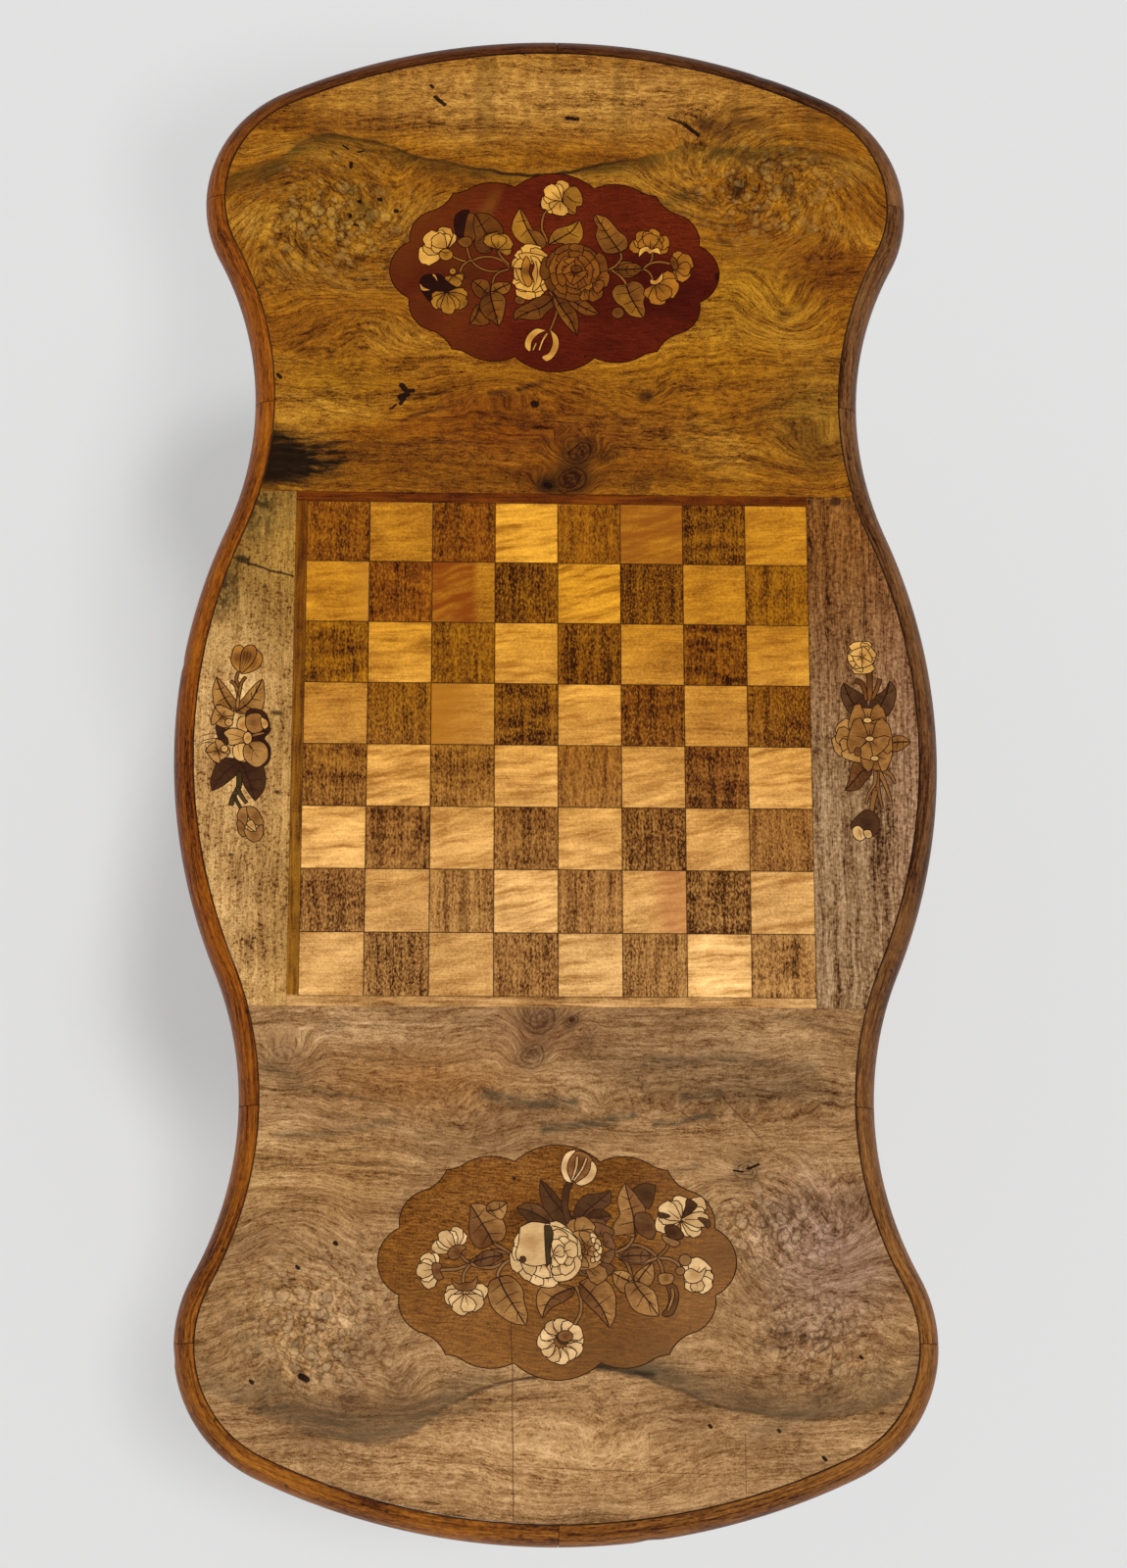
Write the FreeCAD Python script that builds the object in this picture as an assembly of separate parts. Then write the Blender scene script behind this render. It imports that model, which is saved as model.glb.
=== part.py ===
import FreeCAD, Part
import math
import os
from FreeCAD import Vector

os.makedirs("parts", exist_ok=True)

# A snap-top games table. It stands on z = 0 with its column on the Z axis. The top is longest along Y
# (north is +Y) and is crossed by X (east is +X). It tips up about two pins at the block's west edge.

# ---------------------------------------------------------------- driving dimensions, mm
# The top's outline: a belly at each side, a waist either side of it, round shoulders and bowed ends.
TABLE_HEIGHT = 724.0
TOP_LENGTH = 1087.0
TOP_WIDTH = 537.0
BELLY_RADIUS = 411.0
WAIST_INSET = 51.0            # how far each waist lies inside the belly's widest point
SHOULDER_INSET = 11.5         # how far each shoulder lies inside the belly's widest point
SHOULDER_RADIUS = 96.5
SHOULDER_SETBACK = 132.0      # from the end of the top to the centre of the shoulder's arc

# The rim: a thumb moulding, round underneath, planted on the edge of the groundwork.
RIM_WIDTH = 15.0
RIM_DEPTH = 24.0
RIM_FLAT = 2.0                # flat lip along the veneer
RIM_NOSE = 16.0               # depth of the outermost line below the lip
RIM_PROUD = 0.3               # the lip stands this much over the veneer
RIM_FLATS = 3                 # flats that the thumb's curve is worked in
GROUND_THICK = 20.0
VENEER_THICK = 1.0
GLUE_LINE = 0.2               # seam between two pieces of veneer

# The board and its border strips. The east side has no strip.
SQUARE = 44.45
SQUARES_A_SIDE = 8
END_STRIP = 7.2
SIDE_STRIP = 8.0

# The cartouches: half length along X, half width along Y, and the middle of each.
CARTOUCHE_NORTH = (120.0, 77.5, Vector(-2.0, 355.0, 0))
CARTOUCHE_SOUTH = (114.5, 74.5, Vector(-6.5, -353.5, 0))

# The pivot block, its pins and the two bearers that turn on them.
BLOCK_LENGTH = 200.0          # along Y, between the bearers
BLOCK_WIDTH = 190.0
BLOCK_THICK = 36.0
BLOCK_EDGE_RADIUS = 6.0
PIN_RADIUS = 8.0
PIN_IN_BLOCK = 34.0
PIN_RUNNING = 0.08            # radial clearance of a pin in its bearer
TIP_CLEARANCE = 0.4           # between the tipping top and the block's rounded west edge
BEARER_LENGTH = 430.0
BEARER_WIDTH = 30.0
BEARER_DEPTH = 38.0
BEARER_SIDE_GAP = 1.0
BEARER_END_SLOPE = 46.0       # length of the hollow at each end of a bearer
BEARER_END_DEPTH = 14.0
GLUED_GAP = 0.05              # a glued round or dovetailed joint, all round

# The catch: a brass bolt in a case under the top, and a keeper let into the block's east edge.
BOLT_LENGTH = 46.0
BOLT_WIDTH = 12.0
BOLT_HEIGHT = 7.0
BOLT_TRAVEL = 10.0
BOLT_CLEARANCE = 0.3
BOLT_BEVEL = 4.0
BOLT_DROP = 5.0               # from the underside of the top to the top of the bolt
CASE_GAP = 1.0                # between the block and the case
CASE_WALL = 4.0
CASE_FLANGE = 9.0
CASE_FLANGE_THICK = 2.5
CASE_CHAMFER = 2.0
KNOB_SIDES = 12
KNOB_RADIUS = 7.0
KNOB_NECK = 2.5
KNOB_STEM = 3.5
KNOB_HEAD = 5.0               # thickness of the knob's head
KNOB_LENGTH = 13.0
KEEPER_THICK = 2.0
KEEPER_WIDTH = 44.0
KEEPER_MARGIN = 4.5           # from the keeper's slot to its upper and lower edges

# The column: an eight-sided baluster on an eight-sided hub, with a drop below it and a round tenon
# up through the block. Its radii are to the middle of a flat.
COLUMN_SIDES = 8
HUB_RADIUS = 50.0
HUB_BOTTOM = 150.0
HUB_HEIGHT = 152.0
TENON_RADIUS = 22.0
TENON_SHORT = 1.5             # the tenon ends this far below the block's top
WEDGE_THICK = 5.0
BALUSTER_RADIUS = 47.0
NECK_RADIUS = 24.0
CAP_RADIUS = 46.0
CAP_HEIGHT = 12.0
RING_HEIGHT = 11.0
DROP_RADIUS = 27.0
DROP_LENGTH = 58.0

# The legs: sawn to shape from two sides, joined to the hub by a dovetail tongue.
LEG_REACH = 318.0             # from the column's axis to the middle of the toe
LEG_THICK_HUB = 40.0
LEG_THICK_KNEE = 46.0
LEG_THICK_ANKLE = 27.0
LEG_THICK_TOE = 38.0
LEG_SHOULDER_DROP = 14.0      # the leg's top edge meets the hub this far below the hub's top
LEG_FLAT = 36.0               # level underside beside the hub, for the plate
KNEE_START = 28.0             # level top edge beside the hub, before the knee turns down
KNEE_RADIUS = 86.0
ANKLE_RADIUS = 232.0          # of the hollow between the knee and the toe
ANKLE_DEPTH = 42.0
TOE_RADIUS = 27.0
FOOT_PAD = 28.0               # length of the level pad under the toe
TONGUE_DEPTH = 15.0
TONGUE_NECK = 16.0
TONGUE_BACK = 24.0
TONGUE_STOP = 16.0            # the tongue ends this far below the leg's top edge

# The iron plate under the hub: a cross with an arm out under each leg and a hole for the drop.
SPIDER_THICK = 4.0
SPIDER_ARM = 24.0
SPIDER_MARGIN = 4.0           # from the end of an arm to the end of the leg's level underside
SPIDER_BODY = 80.0            # side of the square that the arms grow from
SPIDER_GAP = 1.0              # between the plate and the drop

# ---------------------------------------------------------------- levels and places that follow
Z_AXIS = Vector(0, 0, 1)
VENEER_TOP = TABLE_HEIGHT - RIM_PROUD
GROUND_TOP = VENEER_TOP - VENEER_THICK
UNDERSIDE = GROUND_TOP - GROUND_THICK
BLOCK_BOTTOM = UNDERSIDE - BLOCK_THICK
PIN_DROP = BLOCK_THICK / 2
PIN_Z = UNDERSIDE - PIN_DROP
PIN_X = -(BLOCK_WIDTH / 2 - (PIN_DROP - TIP_CLEARANCE))
BOARD_HALF = SQUARE * SQUARES_A_SIDE / 2
SEAM_Y = BOARD_HALF + END_STRIP
HUB_TOP = HUB_BOTTOM + HUB_HEIGHT
TENON_TOP = UNDERSIDE - TENON_SHORT
BLOCK_EAST = BLOCK_WIDTH / 2
BOLT_TOP = UNDERSIDE - BOLT_DROP
BOLT_BOTTOM = BOLT_TOP - BOLT_HEIGHT
CASE_START = BLOCK_EAST + CASE_GAP
BOLT_NOSE = CASE_START + CASE_GAP
BOLT_TAIL = BOLT_NOSE + BOLT_LENGTH
KNOB_X = BOLT_NOSE + BOLT_LENGTH * 0.6

CORNERS = {"ne": (1, 1), "nw": (-1, 1), "se": (1, -1), "sw": (-1, -1)}


# ---------------------------------------------------------------- small helpers
def save(shape, node):
    shape.exportStep("parts/" + node + ".step")


def box(low, high):
    return Part.makeBox(high[0] - low[0], high[1] - low[1], high[2] - low[2], Vector(*low))


def line(a, b):
    return Part.LineSegment(a, b).toShape()


def arc(a, middle, b):
    return Part.Arc(a, middle, b).toShape()


def flats(a, middle, b, count):
    """The points of an arc that is worked in this many equal flats, without its first point."""
    return arc(a, middle, b).discretize(Number=count + 1)[1:]


def arc_about(centre, start, end):
    """The shorter arc about a centre from start to end."""
    radius = (start - centre).Length
    return arc(start, centre + ((start + end) * 0.5 - centre).normalize() * radius, end)


def face(edges):
    return Part.Face(Part.Wire(edges))


def polygon(points):
    return Part.Face(Part.makePolygon(points + [points[0]]))


def fused(shapes):
    whole = shapes[0].fuse(shapes[1:]) if len(shapes) > 1 else shapes[0]
    return whole.removeSplitter()


def faceted(half_view, sides):
    """A many-sided piece about the Z axis, with a flat towards +X, from the (radius, z) corners of half
    its view. A radius is to the middle of a flat."""
    half_turn = math.pi / sides

    def corner(radius, z, k):
        angle = (2 * k - 1) * half_turn
        reach = radius / math.cos(half_turn)
        return Vector(reach * math.cos(angle), reach * math.sin(angle), z)

    rings = [[corner(radius, z, k) for k in range(sides)] for radius, z in half_view]
    panels = [polygon(rings[0][::-1]), polygon(rings[-1])]
    for low, high in zip(rings, rings[1:]):
        for k in range(sides):
            after = (k + 1) % sides
            panels.append(polygon([low[k], low[after], high[after], high[k]]))
    return Part.Solid(Part.Shell(panels))


def mirrored(shape, side_x, side_y):
    """The north-east quadrant's shape, moved to the quadrant with these signs."""
    if side_x < 0:
        shape = shape.mirror(Vector(0, 0, 0), Vector(1, 0, 0))
    if side_y < 0:
        shape = shape.mirror(Vector(0, 0, 0), Vector(0, 1, 0))
    return shape


# ---------------------------------------------------------------- the outline's arcs
class Arc:
    """One arc of the outline in the north-east quadrant. inside is +1 where the top lies on the
    centre's side of the arc, and -1 at the waist, where it lies beyond it."""

    def __init__(self, centre, radius, inside):
        self.centre = centre
        self.radius = radius
        self.inside = inside

    def angle_of(self, point):
        offset = point - self.centre
        return math.atan2(offset.y, offset.x)

    def at(self, angle, inward=0.0, z=0.0):
        reach = self.radius - self.inside * inward
        x = self.centre.x + reach * math.cos(angle)
        y = self.centre.y + reach * math.sin(angle)
        return Vector(x, y, z)


def towards(start, end, distance):
    return start + (end - start).normalize() * distance


def outline_arcs():
    """The four tangent arcs of a quadrant, and the points where one hands over to the next."""
    half_width = TOP_WIDTH / 2
    waist_half = half_width - WAIST_INSET
    shoulder_half = half_width - SHOULDER_INSET
    belly_centre = Vector(half_width - BELLY_RADIUS, 0, 0)
    shoulder_centre = Vector(shoulder_half - SHOULDER_RADIUS, TOP_LENGTH / 2 - SHOULDER_SETBACK, 0)

    # The waist's arc touches the belly's and the shoulder's from outside, and its nearest point to
    # the centre line is at waist_half: a quadratic in the waist's station along Y.
    to_belly = waist_half - belly_centre.x
    to_shoulder = waist_half - shoulder_centre.x
    ratio = (SHOULDER_RADIUS - to_shoulder) / (BELLY_RADIUS - to_belly)
    belly_term = BELLY_RADIUS ** 2 - to_belly ** 2
    a = 1 - ratio
    b = -2 * shoulder_centre.y
    c = shoulder_centre.y ** 2 - SHOULDER_RADIUS ** 2 + to_shoulder ** 2 + ratio * belly_term
    waist_y = (-b - math.sqrt(b * b - 4 * a * c)) / (2 * a)
    waist_radius = (waist_y ** 2 - belly_term) / (2 * (BELLY_RADIUS - to_belly))
    waist_centre = Vector(waist_half + waist_radius, waist_y, 0)

    # The bowed end touches the shoulder's arc from inside and is centred on the Y axis.
    drop = -SHOULDER_SETBACK
    end_radius = (SHOULDER_RADIUS ** 2 - drop ** 2 - shoulder_centre.x ** 2) / (2 * (drop + SHOULDER_RADIUS))
    end_centre = Vector(0, TOP_LENGTH / 2 - end_radius, 0)

    arcs = {"belly": Arc(belly_centre, BELLY_RADIUS, 1), "waist": Arc(waist_centre, waist_radius, -1),
            "shoulder": Arc(shoulder_centre, SHOULDER_RADIUS, 1), "end": Arc(end_centre, end_radius, 1)}
    joins = {"belly_waist": towards(belly_centre, waist_centre, BELLY_RADIUS),
             "waist_shoulder": towards(waist_centre, shoulder_centre, waist_radius),
             "shoulder_end": towards(end_centre, shoulder_centre, end_radius)}
    return arcs, joins


ARCS, JOINS = outline_arcs()

# Each run is an arc and the angles it covers, from the belly's middle round to the end's middle.
BELLY_TO_WAIST = ("belly", 0.0, ARCS["belly"].angle_of(JOINS["belly_waist"]))
WAIST_TO_MIDDLE = ("waist", ARCS["waist"].angle_of(JOINS["belly_waist"]) % (2 * math.pi), math.pi)
WAIST_TO_SHOULDER = ("waist", math.pi, ARCS["waist"].angle_of(JOINS["waist_shoulder"]))
SHOULDER_TO_SIDE = ("shoulder", ARCS["shoulder"].angle_of(JOINS["waist_shoulder"]), 0.0)
SHOULDER_TO_END = ("shoulder", 0.0, ARCS["shoulder"].angle_of(JOINS["shoulder_end"]))
END_TO_MIDDLE = ("end", ARCS["end"].angle_of(JOINS["shoulder_end"]), math.pi / 2)
QUADRANT = [BELLY_TO_WAIST, WAIST_TO_MIDDLE, WAIST_TO_SHOULDER, SHOULDER_TO_SIDE, SHOULDER_TO_END,
            END_TO_MIDDLE]


def quadrant_face(inward):
    """The north-east quarter of the top's outline, moved in by this much, as a face at z = 0."""
    edges = []
    for name, start, end in QUADRANT:
        curve = ARCS[name]
        middle = (start + end) / 2
        edges.append(arc(curve.at(start, inward), curve.at(middle, inward), curve.at(end, inward)))
    first = edges[0].Vertexes[0].Point
    last = edges[-1].Vertexes[-1].Point
    edges.append(line(Vector(last), Vector(0, 0, 0)))
    edges.append(line(Vector(0, 0, 0), Vector(first)))
    return face(edges)


def slab(inward, bottom, thickness):
    """The whole outline as one plate, from its four quarters."""
    quarter = quadrant_face(inward).extrude(Vector(0, 0, thickness))
    quarter.translate(Vector(0, 0, bottom))
    return fused([mirrored(quarter, sx, sy) for sx, sy in CORNERS.values()])


# ---------------------------------------------------------------- the top: rim
def rim_section(curve, angle):
    """The moulding's section, standing square to the outline at this angle of the arc."""

    def at(inward, drop):
        return curve.at(angle, inward, TABLE_HEIGHT - drop)

    # Above the nose: a curve that is upright at the nose and rises to the flat lip.
    rise_width = RIM_WIDTH - RIM_FLAT
    rise_radius = (rise_width ** 2 + RIM_NOSE ** 2) / (2 * rise_width)
    half_turn = math.asin(RIM_NOSE / rise_radius) / 2
    rise_middle = at(rise_radius * (1 - math.cos(half_turn)), RIM_NOSE - rise_radius * math.sin(half_turn))
    thumb = flats(at(rise_width, 0), rise_middle, at(0, RIM_NOSE), RIM_FLATS)
    # Below the nose: a splay back to the underside.
    under = RIM_DEPTH - RIM_NOSE
    return polygon([at(RIM_WIDTH, 0), at(rise_width, 0)] + thumb
                   + [at(under, RIM_DEPTH), at(RIM_WIDTH, RIM_DEPTH)])


def rim_length(runs):
    """One sawn length of rim, following these runs of the outline."""
    pieces = []
    for name, start, end in runs:
        curve = ARCS[name]
        section = rim_section(curve, start)
        pieces.append(section.revolve(curve.centre, Z_AXIS, math.degrees(end - start)))
    return fused(pieces)


def make_rim():
    """Ten sawn lengths, butted end to end: two round each end of the top, three along each side."""
    end = rim_length([SHOULDER_TO_END, END_TO_MIDDLE])
    shoulder = rim_length([WAIST_TO_SHOULDER, SHOULDER_TO_SIDE])
    half_belly = rim_length([BELLY_TO_WAIST, WAIST_TO_MIDDLE])
    for name, side in (("north", 1), ("south", -1)):
        save(Part.makeCompound([mirrored(end, 1, side), mirrored(end, -1, side)]), "rim_" + name)
    for name, side in (("east", 1), ("west", -1)):
        belly = fused([mirrored(half_belly, side, 1), mirrored(half_belly, side, -1)])
        shoulders = [mirrored(shoulder, side, 1), mirrored(shoulder, side, -1)]
        save(Part.makeCompound([belly] + shoulders), "rim_" + name)


# ---------------------------------------------------------------- the top: veneer
def between(plate, west, east, south, north):
    """What lies of a plate between these lines, less half a glue line at each."""
    half = GLUE_LINE / 2
    low = (west + half, south + half, 0)
    high = (east - half, north - half, TABLE_HEIGHT)
    return plate.common(box(low, high))


def cartouche_face(half_length, half_width, grow=0.0):
    """A scalloped oval: twelve lobes meeting in eight inward cusps and four ogee points."""
    top = Vector(0, half_width + grow, 0)
    cusp = Vector(half_length * 0.240 + grow * 0.3, half_width * 0.855 + grow, 0)
    lobe = Vector(half_length * 0.375, half_width * 0.900 + grow, 0)
    ease = Vector(half_length * 0.510 + grow * 0.2, half_width * 0.845 + grow, 0)
    hollow = Vector(half_length * 0.565 + grow * 0.3, half_width * 0.800 + grow, 0)
    point = Vector(half_length * 0.620 + grow * 0.8, half_width * 0.785 + grow * 0.8, 0)
    sweep = Vector(half_length * 0.665 + grow, half_width * 0.680 + grow * 0.5, 0)
    turn = Vector(half_length * 0.745 + grow, half_width * 0.605 + grow * 0.4, 0)
    bulge = Vector(half_length * 0.850 + grow, half_width * 0.490 + grow * 0.3, 0)
    waist = Vector(half_length * 0.880 + grow, half_width * 0.285 + grow * 0.2, 0)
    side = Vector(half_length + grow, 0, 0)

    def flip(v, side_x, side_y):
        return Vector(v.x * side_x, v.y * side_y, 0)

    edges = []
    for side_x, side_y in ((1, 1), (1, -1), (-1, -1), (-1, 1)):
        quarter = [(cusp, lobe, ease), (ease, hollow, point), (point, sweep, turn), (turn, bulge, waist)]
        for a, middle, b in quarter:
            edges.append(arc(flip(a, side_x, side_y), flip(middle, side_x, side_y), flip(b, side_x, side_y)))
    for sign in (1, -1):
        edges.append(arc(flip(cusp, -1, sign), flip(top, 1, sign), flip(cusp, 1, sign)))
        edges.append(arc(flip(waist, sign, 1), flip(side, sign, 1), flip(waist, sign, -1)))
    return Part.Face(Part.Wire(Part.__sortEdges__(edges)))


def cartouche(size, grow, bottom, thickness):
    half_length, half_width, middle = size
    plate = cartouche_face(half_length, half_width, grow).extrude(Vector(0, 0, thickness))
    plate.translate(middle + Vector(0, 0, bottom))
    return plate


def make_veneer():
    sheet = slab(RIM_WIDTH + GLUE_LINE, GROUND_TOP, VENEER_THICK)
    far = TOP_LENGTH
    for name, size, south, north in (("north", CARTOUCHE_NORTH, SEAM_Y, far),
                                     ("south", CARTOUCHE_SOUTH, -far, -SEAM_Y)):
        field = between(sheet, -far, far, south, north)
        opening = cartouche(size, GLUE_LINE, GROUND_TOP, VENEER_THICK)
        save(field.cut(opening), "veneer_" + name)
        save(cartouche(size, 0.0, GROUND_TOP, VENEER_THICK), "cartouche_" + name)
    save(between(sheet, -far, -BOARD_HALF - SIDE_STRIP, -SEAM_Y, SEAM_Y), "veneer_west")
    save(between(sheet, BOARD_HALF, far, -SEAM_Y, SEAM_Y), "veneer_east")


def make_strips():
    """Three border strips. The west one is mitred into the other two at the board's corners."""
    half = GLUE_LINE / 2
    inner_w, outer_w = -BOARD_HALF - half, -BOARD_HALF - SIDE_STRIP + half
    inner_y, outer_y = BOARD_HALF + half, SEAM_Y - half
    west = [Vector(outer_w, -outer_y + GLUE_LINE, 0), Vector(inner_w, -inner_y + GLUE_LINE, 0),
            Vector(inner_w, inner_y - GLUE_LINE, 0), Vector(outer_w, outer_y - GLUE_LINE, 0)]
    end = [Vector(inner_w, inner_y, 0), Vector(outer_w, outer_y, 0),
           Vector(BOARD_HALF - half, outer_y, 0), Vector(BOARD_HALF - half, inner_y, 0)]
    north = polygon(end).extrude(Vector(0, 0, VENEER_THICK))
    north.translate(Vector(0, 0, GROUND_TOP))
    side = polygon(west).extrude(Vector(0, 0, VENEER_THICK))
    side.translate(Vector(0, 0, GROUND_TOP))
    save(north, "strip_north")
    save(mirrored(north, 1, -1), "strip_south")
    save(side, "strip_west")


def make_squares():
    """The 64 squares. The north-west corner square is dark, so a player at either long side has a
    light square at the right hand."""
    groups = {"squares_dark": [], "squares_light": []}
    side = SQUARE - GLUE_LINE
    for row in range(SQUARES_A_SIDE):
        for column in range(SQUARES_A_SIDE):
            x = -BOARD_HALF + column * SQUARE + GLUE_LINE / 2
            y = BOARD_HALF - (row + 1) * SQUARE + GLUE_LINE / 2
            square = Part.makeBox(side, side, VENEER_THICK, Vector(x, y, GROUND_TOP))
            colour = "squares_dark" if (row + column) % 2 == 0 else "squares_light"
            groups[colour].append(square)
    for node, squares in groups.items():
        save(Part.makeCompound(squares), node)


# ---------------------------------------------------------------- the top: groundwork and bearers
def make_groundwork():
    plate = slab(RIM_WIDTH, UNDERSIDE, GROUND_THICK)
    far = TOP_LENGTH
    west = box((-far, -far, 0), (0, far, TABLE_HEIGHT))
    east = box((0, -far, 0), (far, far, TABLE_HEIGHT))
    save(plate.common(west), "groundwork_west")
    save(plate.common(east), "groundwork_east")


def bearer_blank():
    """A bearer's side view, along X, with a hollow cut at each end, as a face at y = 0."""
    half = BEARER_LENGTH / 2
    top, bottom = UNDERSIDE, UNDERSIDE - BEARER_DEPTH
    lip = top - BEARER_END_DEPTH
    run = half - BEARER_END_SLOPE

    def hollow(sign):
        # A quarter of a hollow: upright where it leaves the tip, level where it meets the underside.
        start = Vector(sign * half, 0, lip)
        middle = Vector(sign * (half - BEARER_END_SLOPE * 0.72), 0, lip - (lip - bottom) * 0.30)
        end = Vector(sign * run, 0, bottom)
        return start, middle, end

    east, west = hollow(1), hollow(-1)
    return face([line(Vector(-half, 0, top), Vector(half, 0, top)), line(Vector(half, 0, top), east[0]),
                 arc(*east), line(east[2], west[2]), arc(west[2], west[1], west[0]),
                 line(west[0], Vector(-half, 0, top))])


def make_bearers():
    start = BLOCK_LENGTH / 2 + BEARER_SIDE_GAP
    blank = bearer_blank().extrude(Vector(0, BEARER_WIDTH, 0))
    blank.translate(Vector(0, start, 0))
    bore = Part.makeCylinder(PIN_RADIUS + PIN_RUNNING, BEARER_WIDTH, Vector(PIN_X, start, PIN_Z),
                             Vector(0, 1, 0))
    north = blank.cut(bore)
    save(north, "bearer_north")
    save(mirrored(north, 1, -1), "bearer_south")


# ---------------------------------------------------------------- the catch
def make_catch():
    gap = BOLT_CLEARANCE
    case_bottom = BOLT_BOTTOM - gap - CASE_WALL
    half = BOLT_WIDTH / 2
    case_half = half + gap + CASE_WALL
    case_end = BOLT_TAIL + gap + CASE_WALL
    body = box((CASE_START, -case_half, case_bottom), (case_end, case_half, UNDERSIDE))
    lower_edges = [e for e in body.Edges if e.BoundBox.ZMax < case_bottom + gap]
    body = body.makeChamfer(CASE_CHAMFER, lower_edges)
    flange = box((CASE_START, -case_half - CASE_FLANGE, UNDERSIDE - CASE_FLANGE_THICK),
                 (case_end, case_half + CASE_FLANGE, UNDERSIDE))
    corners = [e for e in flange.Edges if e.BoundBox.ZLength > CASE_FLANGE_THICK / 2]
    flange = flange.makeChamfer(CASE_CHAMFER, corners)
    channel = box((CASE_START, -half - gap, BOLT_BOTTOM - gap), (BOLT_TAIL + gap, half + gap, BOLT_TOP + gap))
    # The slot that the knob's neck runs in, round at both ends.
    neck = KNOB_NECK + gap
    slot_end = KNOB_X
    slot_start = KNOB_X - BOLT_TRAVEL
    slot = box((slot_start, -neck, case_bottom), (slot_end, neck, BOLT_BOTTOM))
    for x in (slot_start, slot_end):
        slot = slot.fuse(Part.makeCylinder(neck, BOLT_BOTTOM - case_bottom, Vector(x, 0, case_bottom)))
    save(fused([body, flange]).cut(channel).cut(slot), "catch_case")

    # The bolt, bevelled below its nose so that it rides over the block as the top comes down.
    side_view = [Vector(BOLT_NOSE + BOLT_BEVEL, -half, BOLT_BOTTOM), Vector(BOLT_TAIL, -half, BOLT_BOTTOM),
                 Vector(BOLT_TAIL, -half, BOLT_TOP), Vector(BOLT_NOSE, -half, BOLT_TOP),
                 Vector(BOLT_NOSE, -half, BOLT_BOTTOM + BOLT_BEVEL)]
    save(polygon(side_view).extrude(Vector(0, BOLT_WIDTH, 0)), "catch_bolt")

    # The knob: a neck through the slot, a stem and a head.
    stem_top = case_bottom - gap
    bottom = stem_top - KNOB_LENGTH
    head_top = bottom + KNOB_HEAD
    half_view = [(KNOB_RADIUS, bottom), (KNOB_RADIUS, head_top), (KNOB_STEM, head_top),
                 (KNOB_STEM, stem_top), (KNOB_NECK, stem_top), (KNOB_NECK, BOLT_BOTTOM)]
    knob = faceted(half_view, KNOB_SIDES)
    knob.translate(Vector(KNOB_X, 0, 0))
    save(knob, "catch_knob")


def keeper_slot():
    """The space behind the keeper that the bolt shoots into, open through the keeper's face."""
    room = BOLT_CLEARANCE * 2
    half = BOLT_WIDTH / 2 + room
    return box((BOLT_NOSE - BOLT_TRAVEL - room, -half, BOLT_BOTTOM - room),
               (BLOCK_EAST, half, BOLT_TOP + room))


def keeper_plate():
    low = BOLT_BOTTOM - KEEPER_MARGIN
    high = min(BOLT_TOP + KEEPER_MARGIN, UNDERSIDE - GLUED_GAP)
    return box((BLOCK_EAST - KEEPER_THICK, -KEEPER_WIDTH / 2, low), (BLOCK_EAST, KEEPER_WIDTH / 2, high))


# ---------------------------------------------------------------- the block
def make_block():
    half_y = BLOCK_LENGTH / 2
    # Its west edge is rounded about the pins' axis above, and square below, where it stops the top
    # upright.
    round_edge = PIN_DROP - TIP_CLEARANCE
    west = -BLOCK_WIDTH / 2
    corner = math.sqrt(0.5) * round_edge
    top = UNDERSIDE
    side_view = face([
        line(Vector(west, 0, BLOCK_BOTTOM), Vector(west, 0, PIN_Z)),
        arc(Vector(west, 0, PIN_Z), Vector(PIN_X - corner, 0, PIN_Z + corner),
            Vector(PIN_X, 0, PIN_Z + round_edge)),
        line(Vector(PIN_X, 0, PIN_Z + round_edge), Vector(PIN_X, 0, top)),
        line(Vector(PIN_X, 0, top), Vector(BLOCK_EAST, 0, top)),
        line(Vector(BLOCK_EAST, 0, top), Vector(BLOCK_EAST, 0, BLOCK_BOTTOM)),
        line(Vector(BLOCK_EAST, 0, BLOCK_BOTTOM), Vector(west, 0, BLOCK_BOTTOM))])
    block = side_view.extrude(Vector(0, BLOCK_LENGTH, 0))
    block.translate(Vector(0, -half_y, 0))
    lower = [e for e in block.Edges
             if e.BoundBox.ZMax < BLOCK_BOTTOM + 0.1 and e.BoundBox.XMin > west + 0.1]
    block = block.makeFillet(BLOCK_EDGE_RADIUS, lower)
    block = block.cut(keeper_plate()).cut(keeper_slot())
    block = block.cut(Part.makeCylinder(TENON_RADIUS + GLUED_GAP, BLOCK_THICK, Vector(0, 0, BLOCK_BOTTOM)))
    pins = []
    for side in (1, -1):
        inner = side * (half_y - PIN_IN_BLOCK)
        reach = PIN_IN_BLOCK + BEARER_SIDE_GAP + BEARER_WIDTH
        pin = Part.makeCylinder(PIN_RADIUS, reach, Vector(PIN_X, inner, PIN_Z), Vector(0, side, 0))
        socket = Part.makeCylinder(PIN_RADIUS + GLUED_GAP, reach, Vector(PIN_X, inner, PIN_Z),
                                   Vector(0, side, 0))
        pins.append(pin)
        block = block.cut(socket)
    save(block, "pivot_block")
    save(Part.makeCompound(pins), "pivot_pins")
    save(keeper_plate().cut(keeper_slot()), "keeper_plate")


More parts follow.
